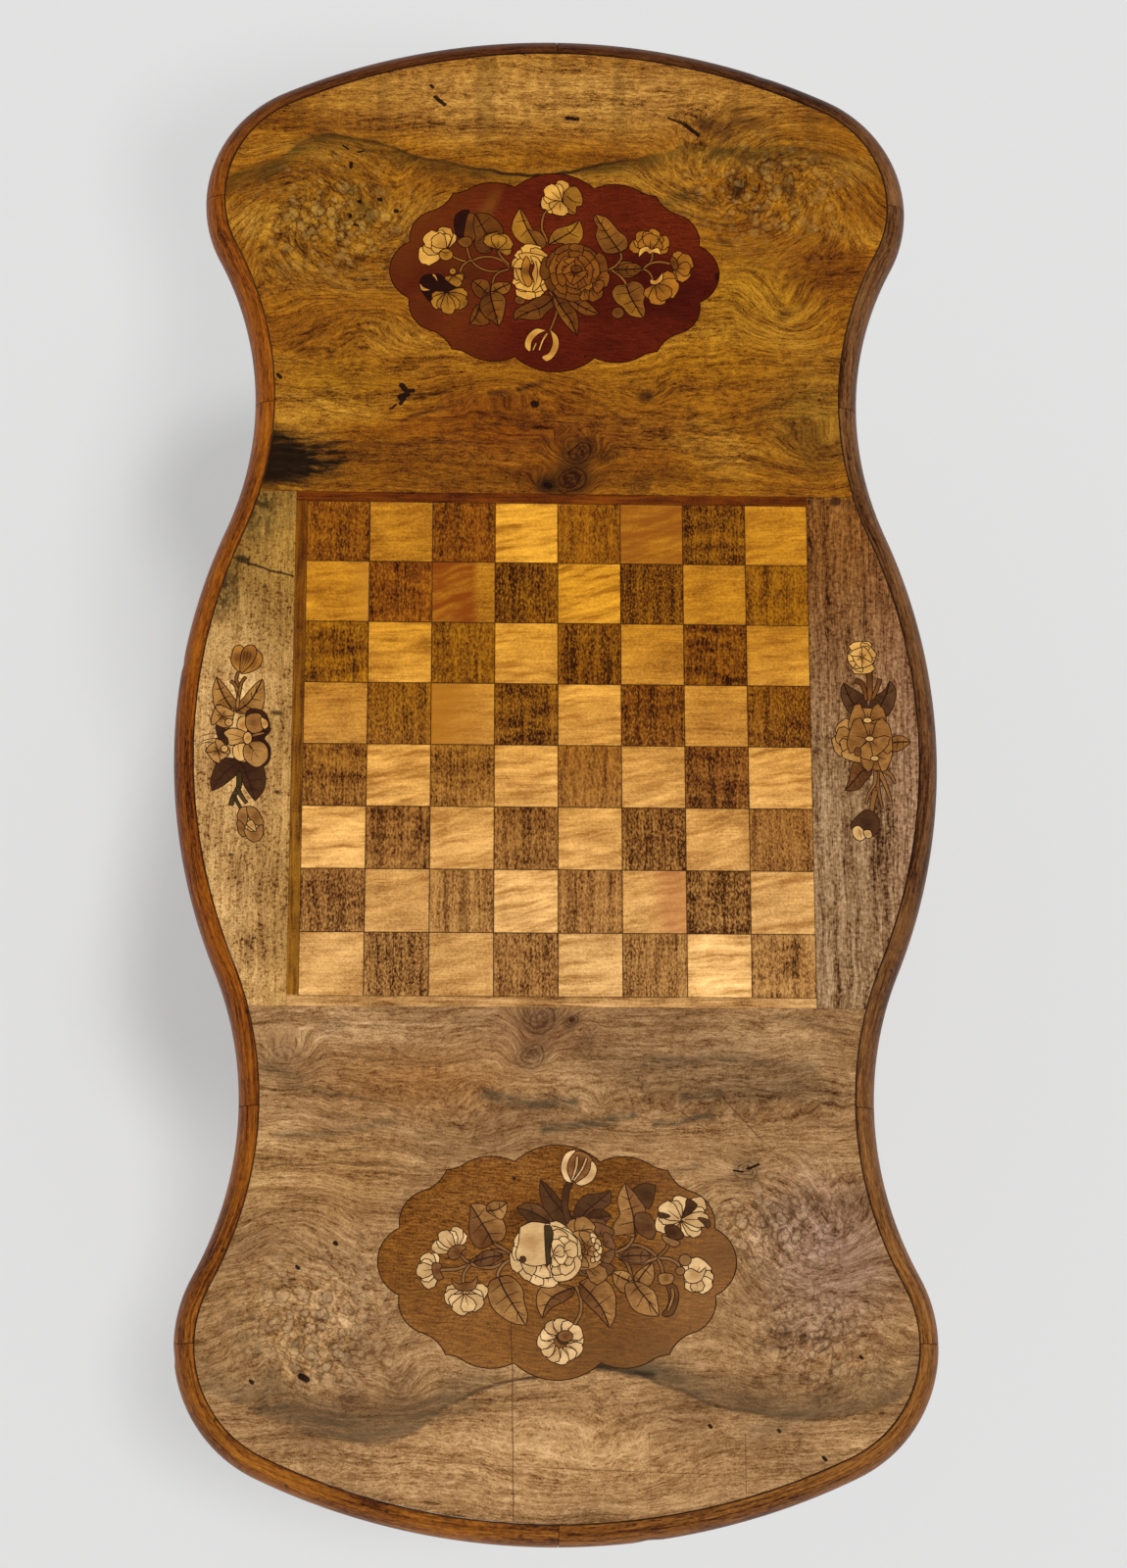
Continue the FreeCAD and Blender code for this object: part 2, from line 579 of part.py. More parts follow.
# ---------------------------------------------------------------- the column
def column_profile():
    """Half the column's view as (radius, z) corners, from the foot of the drop up to the block. Each
    round stretch is worked in flats."""
    shaft = BLOCK_BOTTOM - HUB_TOP
    cap_bottom = BLOCK_BOTTOM - CAP_HEIGHT
    hub_chamfer = 5.0
    ring_one = HUB_TOP + RING_HEIGHT
    ring_two = HUB_TOP + shaft * 0.80
    neck_low = NECK_RADIUS + 4
    r = DROP_RADIUS
    drop_foot = HUB_BOTTOM - DROP_LENGTH
    corners = [(r * 0.16, drop_foot)]

    def to(radius, z):
        corners.append((radius, z))

    def curve(middle, end, count):
        start, middle, end = [Vector(radius, 0, z) for radius, z in (corners[-1], middle, end)]
        corners.extend((point.x, point.z) for point in flats(start, middle, end, count))

    def bead(height):
        radius, bottom = corners[-1]
        curve((radius + height * 0.42, bottom + height / 2), (radius, bottom + height), 5)

    # The drop: a bulb, a neck and a rim against the hub.
    to(r * 0.38, drop_foot + DROP_LENGTH * 0.22)
    curve((r * 0.74, drop_foot + DROP_LENGTH * 0.48), (r * 0.52, drop_foot + DROP_LENGTH * 0.68), 5)
    curve((r * 0.62, drop_foot + DROP_LENGTH * 0.80), (r * 0.90, drop_foot + DROP_LENGTH * 0.88), 3)
    to(r, drop_foot + DROP_LENGTH * 0.92)
    to(r, HUB_BOTTOM)
    # The hub.
    to(HUB_RADIUS, HUB_BOTTOM)
    to(HUB_RADIUS, HUB_TOP - hub_chamfer)
    to(HUB_RADIUS - hub_chamfer, HUB_TOP)
    to(HUB_RADIUS - 11, HUB_TOP)
    bead(RING_HEIGHT)
    # The baluster.
    curve((neck_low + 2, ring_one + 7), (neck_low, ring_one + 20), 4)
    curve((BALUSTER_RADIUS, HUB_TOP + shaft * 0.29), (BALUSTER_RADIUS * 0.83, HUB_TOP + shaft * 0.45), 10)
    curve((NECK_RADIUS + 3.5, HUB_TOP + shaft * 0.62), (NECK_RADIUS, ring_two - 12), 6)
    # The upper ring, the bell and the cap that carries the block.
    to(NECK_RADIUS + 5, ring_two - 12)
    to(NECK_RADIUS + 5, ring_two - 8)
    bead(12)
    to(NECK_RADIUS + 1, ring_two + 4)
    curve((NECK_RADIUS + 5, (ring_two + cap_bottom) / 2 + 6), (CAP_RADIUS - 6, cap_bottom), 6)
    to(CAP_RADIUS - 3, cap_bottom)
    curve((CAP_RADIUS, cap_bottom + CAP_HEIGHT / 2), (CAP_RADIUS - 3, BLOCK_BOTTOM), 4)
    return corners


def tongue(gap):
    """A leg's dovetail tongue along +X, or with a gap the socket that takes it."""
    back = HUB_RADIUS - TONGUE_DEPTH - gap
    front = HUB_RADIUS + 3
    slope = (TONGUE_BACK - TONGUE_NECK) / 2 / TONGUE_DEPTH
    neck = TONGUE_NECK / 2 + gap - slope * (front - HUB_RADIUS)
    wide = TONGUE_BACK / 2 + gap
    top = HUB_TOP - LEG_SHOULDER_DROP - TONGUE_STOP + gap
    plan = polygon([Vector(back, -wide, HUB_BOTTOM), Vector(front, -neck, HUB_BOTTOM),
                    Vector(front, neck, HUB_BOTTOM), Vector(back, wide, HUB_BOTTOM)])
    return plan.extrude(Vector(0, 0, top - HUB_BOTTOM))


def diagonals(shape):
    """Copies of a shape along +X, turned to the four diagonals."""
    turned = {}
    for corner, (side_x, side_y) in CORNERS.items():
        copy = shape.copy()
        copy.rotate(Vector(0, 0, 0), Z_AXIS, math.degrees(math.atan2(side_y, side_x)))
        turned[corner] = copy
    return turned


def make_column():
    column = faceted(column_profile(), COLUMN_SIDES)
    tenon = Part.makeCylinder(TENON_RADIUS, TENON_TOP - BLOCK_BOTTOM, Vector(0, 0, BLOCK_BOTTOM))
    column = column.fuse(tenon)
    for socket in diagonals(tongue(GLUED_GAP)).values():
        column = column.cut(socket)

    # The wedge spreads the tenon: a kerf across it, filled by a tapered slip.
    kerf_bottom = BLOCK_BOTTOM + BLOCK_THICK * 0.2
    half = WEDGE_THICK / 2
    tip = half * 0.3

    def slip(gap, reach):
        low = kerf_bottom - gap
        profile = polygon([Vector(-tip - gap, -reach, low), Vector(tip + gap, -reach, low),
                           Vector(half + gap, -reach, TENON_TOP), Vector(-half - gap, -reach, TENON_TOP)])
        return profile.extrude(Vector(0, 2 * reach, 0))

    column = column.cut(slip(GLUED_GAP, CAP_RADIUS))
    save(column, "column")
    round_tenon = Part.makeCylinder(TENON_RADIUS, BLOCK_THICK, Vector(0, 0, BLOCK_BOTTOM))
    save(slip(0.0, CAP_RADIUS).common(round_tenon), "column_wedge")


# ---------------------------------------------------------------- the legs
def meeting(a, from_a, b, from_b):
    """The point at these distances from a and from b, on the left of the way from a to b in the
    XZ plane."""
    span = (b - a).Length
    along = (from_a ** 2 - from_b ** 2 + span ** 2) / (2 * span)
    aside = math.sqrt(from_a ** 2 - along ** 2)
    way = (b - a).normalize()
    return a + way * along + Vector(-way.z, 0, way.x) * aside


def leg_side():
    """The leg's side view in the XZ plane, as tangent arcs: a round knee, a hollow to the ankle and
    a round toe that is cut level for its pad."""
    top_z = HUB_TOP - LEG_SHOULDER_DROP
    toe = Vector(LEG_REACH, 0, math.sqrt(TOE_RADIUS ** 2 - (FOOT_PAD / 2) ** 2))
    tip = toe + Vector(TOE_RADIUS, 0, 0)
    pad_in = Vector(LEG_REACH - FOOT_PAD / 2, 0, 0)
    pad_out = Vector(LEG_REACH + FOOT_PAD / 2, 0, 0)

    # Upper side. The ankle's hollow touches the knee's circle and the toe's circle from outside.
    knee_start = Vector(HUB_RADIUS + KNEE_START, 0, top_z)
    knee = knee_start - Vector(0, 0, KNEE_RADIUS)
    ankle = meeting(knee, KNEE_RADIUS + ANKLE_RADIUS, toe, TOE_RADIUS + ANKLE_RADIUS)
    knee_end = towards(knee, ankle, KNEE_RADIUS)
    toe_start = towards(toe, ankle, TOE_RADIUS)

    # Underside. It runs parallel to the hollow, and the arch that joins it to the level part at the
    # hub touches both.
    under_radius = ANKLE_RADIUS + ANKLE_DEPTH
    heel = meeting(toe, TOE_RADIUS, ankle, under_radius)
    flat_end = Vector(HUB_RADIUS + LEG_FLAT, 0, HUB_BOTTOM)
    out = ankle.x - flat_end.x
    up = ankle.z - HUB_BOTTOM
    arch_radius = (out ** 2 + up ** 2 - under_radius ** 2) / (2 * (under_radius - up))
    arch = flat_end - Vector(0, 0, arch_radius)
    arch_end = towards(arch, ankle, arch_radius)
    corner_top = Vector(HUB_RADIUS, 0, top_z)
    corner_bottom = Vector(HUB_RADIUS, 0, HUB_BOTTOM)
    return face([line(corner_top, knee_start), arc_about(knee, knee_start, knee_end),
                 arc_about(ankle, knee_end, toe_start), arc_about(toe, toe_start, tip),
                 arc_about(toe, tip, pad_out), line(pad_out, pad_in), arc_about(toe, pad_in, heel),
                 arc_about(ankle, heel, arch_end), arc_about(arch, arch_end, flat_end),
                 line(flat_end, corner_bottom), line(corner_bottom, corner_top)])


def leg_plan():
    """The leg seen from above: wider at the knee and the toe than at the ankle."""
    start = HUB_RADIUS
    knee = HUB_RADIUS + KNEE_START
    end = LEG_REACH + TOE_RADIUS
    ankle = (knee + end) / 2

    def corner(x, thick, side):
        return Vector(x, side * thick / 2, 0)

    edges = []
    for side in (1, -1):
        edges.append(line(corner(start, LEG_THICK_HUB, side), corner(knee, LEG_THICK_KNEE, side)))
        edges.append(arc(corner(knee, LEG_THICK_KNEE, side), corner(ankle, LEG_THICK_ANKLE, side),
                         corner(end, LEG_THICK_TOE, side)))
    for x, thick in ((start, LEG_THICK_HUB), (end, LEG_THICK_TOE)):
        edges.append(line(corner(x, thick, 1), corner(x, thick, -1)))
    return Part.Face(Part.Wire(Part.__sortEdges__(edges)))


def make_legs():
    width = max(LEG_THICK_KNEE, LEG_THICK_TOE) * 1.5
    board = leg_side().extrude(Vector(0, width, 0))
    board.translate(Vector(0, -width / 2, 0))
    leg = board.common(leg_plan().extrude(Vector(0, 0, HUB_TOP)))
    leg = leg.fuse(tongue(0.0)).removeSplitter()
    for corner, turned_leg in diagonals(leg).items():
        save(turned_leg, "leg_" + corner)


# ---------------------------------------------------------------- the plate
def make_spider():
    bottom = HUB_BOTTOM - SPIDER_THICK
    half = SPIDER_ARM / 2
    half_body = SPIDER_BODY / 2
    plate = box((-half_body, -half_body, bottom), (half_body, half_body, HUB_BOTTOM))
    # An arm has its two outer corners cut off.
    reach = HUB_RADIUS + LEG_FLAT - SPIDER_MARGIN
    snipped = reach - half / 2
    arm = polygon([Vector(0, -half, bottom), Vector(snipped, -half, bottom),
                   Vector(reach, -half / 2, bottom), Vector(reach, half / 2, bottom),
                   Vector(snipped, half, bottom), Vector(0, half, bottom)])
    arms = diagonals(arm.extrude(Vector(0, 0, SPIDER_THICK)))
    plate = fused([plate] + list(arms.values()))
    hole_radius = DROP_RADIUS + SPIDER_GAP
    hole = faceted([(hole_radius, bottom), (hole_radius, HUB_BOTTOM)], COLUMN_SIDES)
    save(plate.cut(hole), "spider_plate")


make_rim()
make_veneer()
make_strips()
make_squares()
make_groundwork()
make_bearers()
make_catch()
make_block()
make_column()
make_legs()
make_spider()
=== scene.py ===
import math
from functools import cached_property

import bmesh
import bpy
from mathutils import Matrix, Vector
from mathutils.geometry import tessellate_polygon


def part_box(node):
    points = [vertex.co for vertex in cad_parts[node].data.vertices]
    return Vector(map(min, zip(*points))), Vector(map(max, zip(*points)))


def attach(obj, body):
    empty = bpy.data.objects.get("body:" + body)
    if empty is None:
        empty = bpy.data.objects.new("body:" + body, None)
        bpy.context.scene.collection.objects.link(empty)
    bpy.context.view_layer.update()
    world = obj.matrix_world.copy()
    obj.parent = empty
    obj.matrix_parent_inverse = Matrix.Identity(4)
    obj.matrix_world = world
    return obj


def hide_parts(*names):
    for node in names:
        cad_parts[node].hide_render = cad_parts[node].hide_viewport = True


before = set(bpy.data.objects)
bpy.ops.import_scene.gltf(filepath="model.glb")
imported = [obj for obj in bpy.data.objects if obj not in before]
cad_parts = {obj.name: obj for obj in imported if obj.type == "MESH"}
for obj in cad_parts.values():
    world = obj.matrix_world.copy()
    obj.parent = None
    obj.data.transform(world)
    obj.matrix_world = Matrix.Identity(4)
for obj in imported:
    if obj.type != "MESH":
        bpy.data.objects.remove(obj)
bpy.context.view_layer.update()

# Lengths are in millimetres, turned to metres when a mesh is made.
MM = 0.001

# How strongly every wood shows its figure.
FIGURE = 2.2

# ---------------------------------------------------------------- sizes that follow the frame
TABLE_HEIGHT = 724.0
TOP_LENGTH = 1087.0
TOP_WIDTH = 537.0
BELLY_RADIUS = 411.0
WAIST_INSET = 51.0
SHOULDER_INSET = 11.5
SHOULDER_RADIUS = 96.5
SHOULDER_SETBACK = 132.0
RIM_WIDTH = 15.0
RIM_DEPTH = 24.0
RIM_FLAT = 2.0
RIM_NOSE = 16.0
VENEER_TOP = 723.7
GROUND_TOP = 722.7
GLUE_LINE = 0.2
# The south cartouche: half length, half width and middle, in the frame and in the photograph.
CARTOUCHE_CAD = (114.5, 74.5, -6.5, -353.5)
CARTOUCHE_SEEN = (120.7, 78.4, -0.7, -357.4)
UNDERSIDE = 702.7
BLOCK_BOTTOM = 666.7
TENON_TOP = 701.2
TENON_RADIUS = 22.0
WEDGE_THICK = 5.0
SQUARE = 44.45
BOARD_HALF = 177.8

HUB_RADIUS = 50.0
HUB_BOTTOM = 150.0
HUB_TOP = 302.0
BALUSTER_RADIUS = 47.0
NECK_RADIUS = 24.0
CAP_RADIUS = 46.0
CAP_HEIGHT = 12.0
RING_HEIGHT = 11.0
DROP_RADIUS = 27.0
DROP_LENGTH = 58.0

LEG_REACH = 318.0
LEG_THICK_HUB = 40.0
LEG_THICK_KNEE = 46.0
LEG_THICK_ANKLE = 27.0
LEG_THICK_TOE = 38.0
LEG_SHOULDER_DROP = 14.0
LEG_FLAT = 36.0
KNEE_START = 28.0
KNEE_RADIUS = 86.0
ANKLE_RADIUS = 232.0
ANKLE_DEPTH = 42.0
TOE_RADIUS = 27.0
FOOT_PAD = 28.0


# ---------------------------------------------------------------- colours
def channel(value):
    value /= 255.0
    return value / 12.92 if value <= 0.04045 else ((value + 0.055) / 1.055) ** 2.4


def rgb(code):
    """A colour written as six hexadecimal digits, as Blender's linear RGBA."""
    return tuple(channel(int(code[i:i + 2], 16)) for i in (0, 2, 4)) + (1.0,)


# ---------------------------------------------------------------- material trees
class Tree:
    """The nodes of one material. Each call adds a node and returns its output. Places and distances
    in a tree are in millimetres."""

    def __init__(self, name, figure=FIGURE, family=bpy.data.materials):
        self.figure = figure
        self.material = family.new(name)
        self.material.use_nodes = True
        self.nodes = self.material.node_tree.nodes
        self.links = self.material.node_tree.links
        self.nodes.clear()

    @cached_property
    def place(self):
        return self.scaled(self.add("ShaderNodeTexCoord").outputs["Object"], 1 / MM)

    @cached_property
    def run(self):
        """The place along and round the piece, from the mesh's own coordinates."""
        return self.scaled(self.add("ShaderNodeUVMap", uv_map="run").outputs[0], 1 / MM)

    def plug(self, value, socket):
        if isinstance(value, bpy.types.NodeSocket):
            self.links.new(value, socket)
        else:
            socket.default_value = value

    def add(self, kind, inputs=None, **settings):
        node = self.nodes.new(kind)
        for key, value in settings.items():
            setattr(node, key, value)
        for key, value in (inputs or {}).items():
            self.plug(value, node.inputs[key])
        return node

    def math(self, operation, a, b=0.0, c=0.0):
        return self.add("ShaderNodeMath", {0: a, 1: b, 2: c}, operation=operation).outputs[0]

    def times(self, a, b):
        return self.math("MULTIPLY", a, b)

    def over(self, a, b):
        return self.math("DIVIDE", a, b)

    def plus(self, a, b):
        return self.math("ADD", a, b)

    def minus(self, a, b):
        return self.math("SUBTRACT", a, b)

    def linear(self, a, b, c):
        return self.math("MULTIPLY_ADD", a, b, c)

    def most(self, a, b):
        return self.math("MAXIMUM", a, b)

    def size(self, a):
        return self.math("ABSOLUTE", a)

    def vector(self, operation, a, b=(0, 0, 0)):
        return self.add("ShaderNodeVectorMath", {0: a, 1: b}, operation=operation).outputs[0]

    def scaled(self, vector, factor):
        node = self.add("ShaderNodeVectorMath", {0: vector}, operation="SCALE")
        self.plug(factor, node.inputs["Scale"])
        return node.outputs[0]

    def parts(self, vector):
        return self.add("ShaderNodeSeparateXYZ", {0: vector}).outputs

    def joined(self, x, y, z=0.0):
        return self.add("ShaderNodeCombineXYZ", {0: x, 1: y, 2: z}).outputs[0]

    def moved(self, vector, location=(0, 0, 0), turn=0.0, scale=(1, 1, 1)):
        """The vector scaled, then turned, then moved."""
        inputs = {"Vector": vector, "Location": location, "Rotation": (0, 0, math.radians(turn)),
                  "Scale": scale}
        return self.add("ShaderNodeMapping", inputs, vector_type="POINT").outputs[0]

    def local(self, vector, centre, turn, radii):
        """The vector as seen from a centre, in axes turned by some degrees and measured in radii."""
        inputs = {"Vector": vector, "Location": (centre[0], centre[1], 0),
                  "Rotation": (0, 0, math.radians(turn)), "Scale": (radii[0], radii[1], 1e6)}
        return self.add("ShaderNodeMapping", inputs, vector_type="TEXTURE").outputs[0]

    def length(self, vector):
        return self.add("ShaderNodeVectorMath", {0: vector}, operation="LENGTH").outputs["Value"]

    def step(self, value, low, high, start=0.0, end=1.0):
        """A smooth step from start at low to end at high."""
        inputs = {"Value": value, "From Min": low, "From Max": high, "To Min": start, "To Max": end}
        return self.add("ShaderNodeMapRange", inputs, interpolation_type="SMOOTHSTEP").outputs[0]

    def between(self, value, low, high, start=0.0, end=1.0):
        inputs = {"Value": value, "From Min": low, "From Max": high, "To Min": start, "To Max": end}
        return self.add("ShaderNodeMapRange", inputs).outputs[0]

    def noise(self, vector, size, detail=2.0, rough=0.5, seed=0.0):
        """Noise from 0 to 1 with features of about this many millimetres, along X and Y if two are given."""
        wide, tall = size if isinstance(size, tuple) else (size, size)
        squeezed = self.moved(vector, (seed, seed * 1.7, seed * 0.3), 0,
                              (1 / wide, 1 / tall, 1 / min(wide, tall)))
        inputs = {"Vector": squeezed, "Scale": 1.0, "Detail": detail, "Roughness": rough}
        return self.add("ShaderNodeTexNoise", inputs).outputs[0]

    def drift(self, vector, size, reach, detail=1.5, seed=0.0):
        """The vector moved about by noise, by up to about this reach."""
        inputs = {"Vector": self.moved(vector, (seed, seed, seed), 0, (1 / size,) * 3), "Scale": 1.0,
                  "Detail": detail}
        cloud = self.add("ShaderNodeTexNoise", inputs).outputs["Color"]
        offset = self.vector("SUBTRACT", cloud, (0.5, 0.5, 0.5))
        return self.vector("ADD", vector, self.scaled(offset, self.times(reach, 2.0)))

    def cells(self, vector, size):
        """The distance to the nearest of points strewn about this far apart, in the same measure."""
        inputs = {"Vector": self.scaled(vector, 1 / size), "Scale": 1.0}
        return self.add("ShaderNodeTexVoronoi", inputs).outputs["Distance"]

    def ramp(self, value, *stops):
        """A blend through (position, colour) stops."""
        node = self.add("ShaderNodeValToRGB", {0: value})
        elements = node.color_ramp.elements
        while len(elements) < len(stops):
            elements.new(1.0)
        for element, (position, colour) in zip(elements, stops):
            element.position = position
            element.color = rgb(colour)
        return node.outputs[0]

    def curve(self, value, *points):
        """A smooth curve through (input, output) points, both from 0 to 1."""
        node = self.add("ShaderNodeFloatCurve", {"Value": value})
        line = node.mapping.curves[0]
        line.points[0].location = points[0]
        line.points[1].location = points[-1]
        for point in points[1:-1]:
            line.points.new(*point)
        node.mapping.update()
        return node.outputs[0]

    def mix(self, factor, a, b, blend="MIX"):
        node = self.add("ShaderNodeMix", data_type="RGBA", blend_type=blend)
        self.plug(factor, node.inputs[0])
        self.plug(rgb(a) if isinstance(a, str) else a, node.inputs[6])
        self.plug(rgb(b) if isinstance(b, str) else b, node.inputs[7])
        return node.outputs[2]

    def tint(self, colour, tone, amount, share=None):
        """The colour turned towards a tone by an amount, or by this share of it."""
        return self.mix(amount if share is None else self.times(amount, share), colour, tone)

    def shaded(self, colour, level):
        """The colour made lighter or darker by a level that is 1 where nothing changes. Shade is richer
        than light, as it is in wood."""
        green, blue = self.math("POWER", level, 1.25), self.math("POWER", level, 1.6)
        return self.mix(1.0, colour, self.joined(level, green, blue), "MULTIPLY")

    def waves(self, *terms):
        """1 plus the sum of (noise, strength) terms, each noise taken from its middle."""
        level = 1.0
        for value, strength in terms:
            level = self.linear(self.minus(value, 0.5), strength, level)
        return self.most(self.linear(level, self.figure, 1.0 - self.figure), 0.12)

    def blot(self, vector, centre, radii, turn=0.0, soft=0.8):
        """1 inside an ellipse, falling to 0 at its edge over this share of the radius."""
        reach = self.length(self.local(vector, centre, turn, radii))
        return self.step(reach, 1.0 - soft, 1.0, 1.0, 0.0)

    def stroke(self, vector, a, b, width, soft=0.5):
        """1 along the line from a to b, out to half the width."""
        middle = ((a[0] + b[0]) / 2, (a[1] + b[1]) / 2)
        half = math.hypot(b[0] - a[0], b[1] - a[1]) / 2
        turn = math.degrees(math.atan2(b[1] - a[1], b[0] - a[0]))
        x, y, _ = self.parts(self.local(vector, middle, turn, (1, 1)))
        beyond = self.most(self.minus(self.size(x), half), 0.0)
        reach = self.length(self.joined(beyond, y))
        return self.step(reach, width / 2 * (1 - soft), width / 2, 1.0, 0.0)

    def after(self, vector, value):
        """The vector, worked out only once the value is. Without this a long material asks Cycles for more
        values at one time than it can hold, and renders black."""
        inputs = {0: value, 1: (1e-6, 1e-6, 1e-6), 2: vector}
        return self.add("ShaderNodeVectorMath", inputs, operation="MULTIPLY_ADD").outputs[0]

    def path(self, vector, points, width, soft=0.5):
        """1 along a line through points, out to half the width."""
        found = 0.0
        for a, b in zip(points, points[1:]):
            found = self.most(found, self.stroke(vector, a, b, width, soft))
        return found

    def twirled(self, vector, centre, angle):
        """The vector turned about a centre by an angle that may differ from place to place."""
        inputs = {"Vector": vector, "Center": (centre[0], centre[1], 0), "Angle": angle}
        return self.add("ShaderNodeVectorRotate", inputs, rotation_type="Z_AXIS").outputs[0]

    def either(self, share, first, second):
        """A mixture of two shaders."""
        return self.add("ShaderNodeMixShader", {0: share, 1: first, 2: second}).outputs[0]

    def output(self, kind, shader):
        self.add(kind, {"Surface": shader})

    def finish(self, colour, roughness, bump=None, height=0.2, **extra):
        """The surface: a colour, a roughness and a bump of this many millimetres. The roughness may be
        given as a noise and the two values that it runs between."""
        if isinstance(roughness, tuple):
            roughness = self.between(roughness[0], 0.2, 0.8, *roughness[1:])
        inputs = {"Base Color": colour, "Roughness": roughness, "Specular IOR Level": 0.17}
        inputs.update({key.replace("_", " "): value for key, value in extra.items()})
        shader = self.add("ShaderNodeBsdfPrincipled", inputs)
        if bump is not None:
            lift = self.add("ShaderNodeBump", {"Strength": 1.0, "Distance": height * MM, "Height": bump})
            self.links.new(lift.outputs[0], shader.inputs["Normal"])
        self.output("ShaderNodeOutputMaterial", shader.outputs[0])
        return self.material


# ---------------------------------------------------------------- materials of the top
def pores(t, vector, length, width, share, seed=0.0):
    """Short dark pores along X that cover about this share."""
    value = t.noise(vector, (length, width), 1.0, 0.5, seed)
    return t.step(value, 0.5 + (0.5 - share) * 0.42, 0.5 + (0.5 - share) * 0.42 + 0.09)


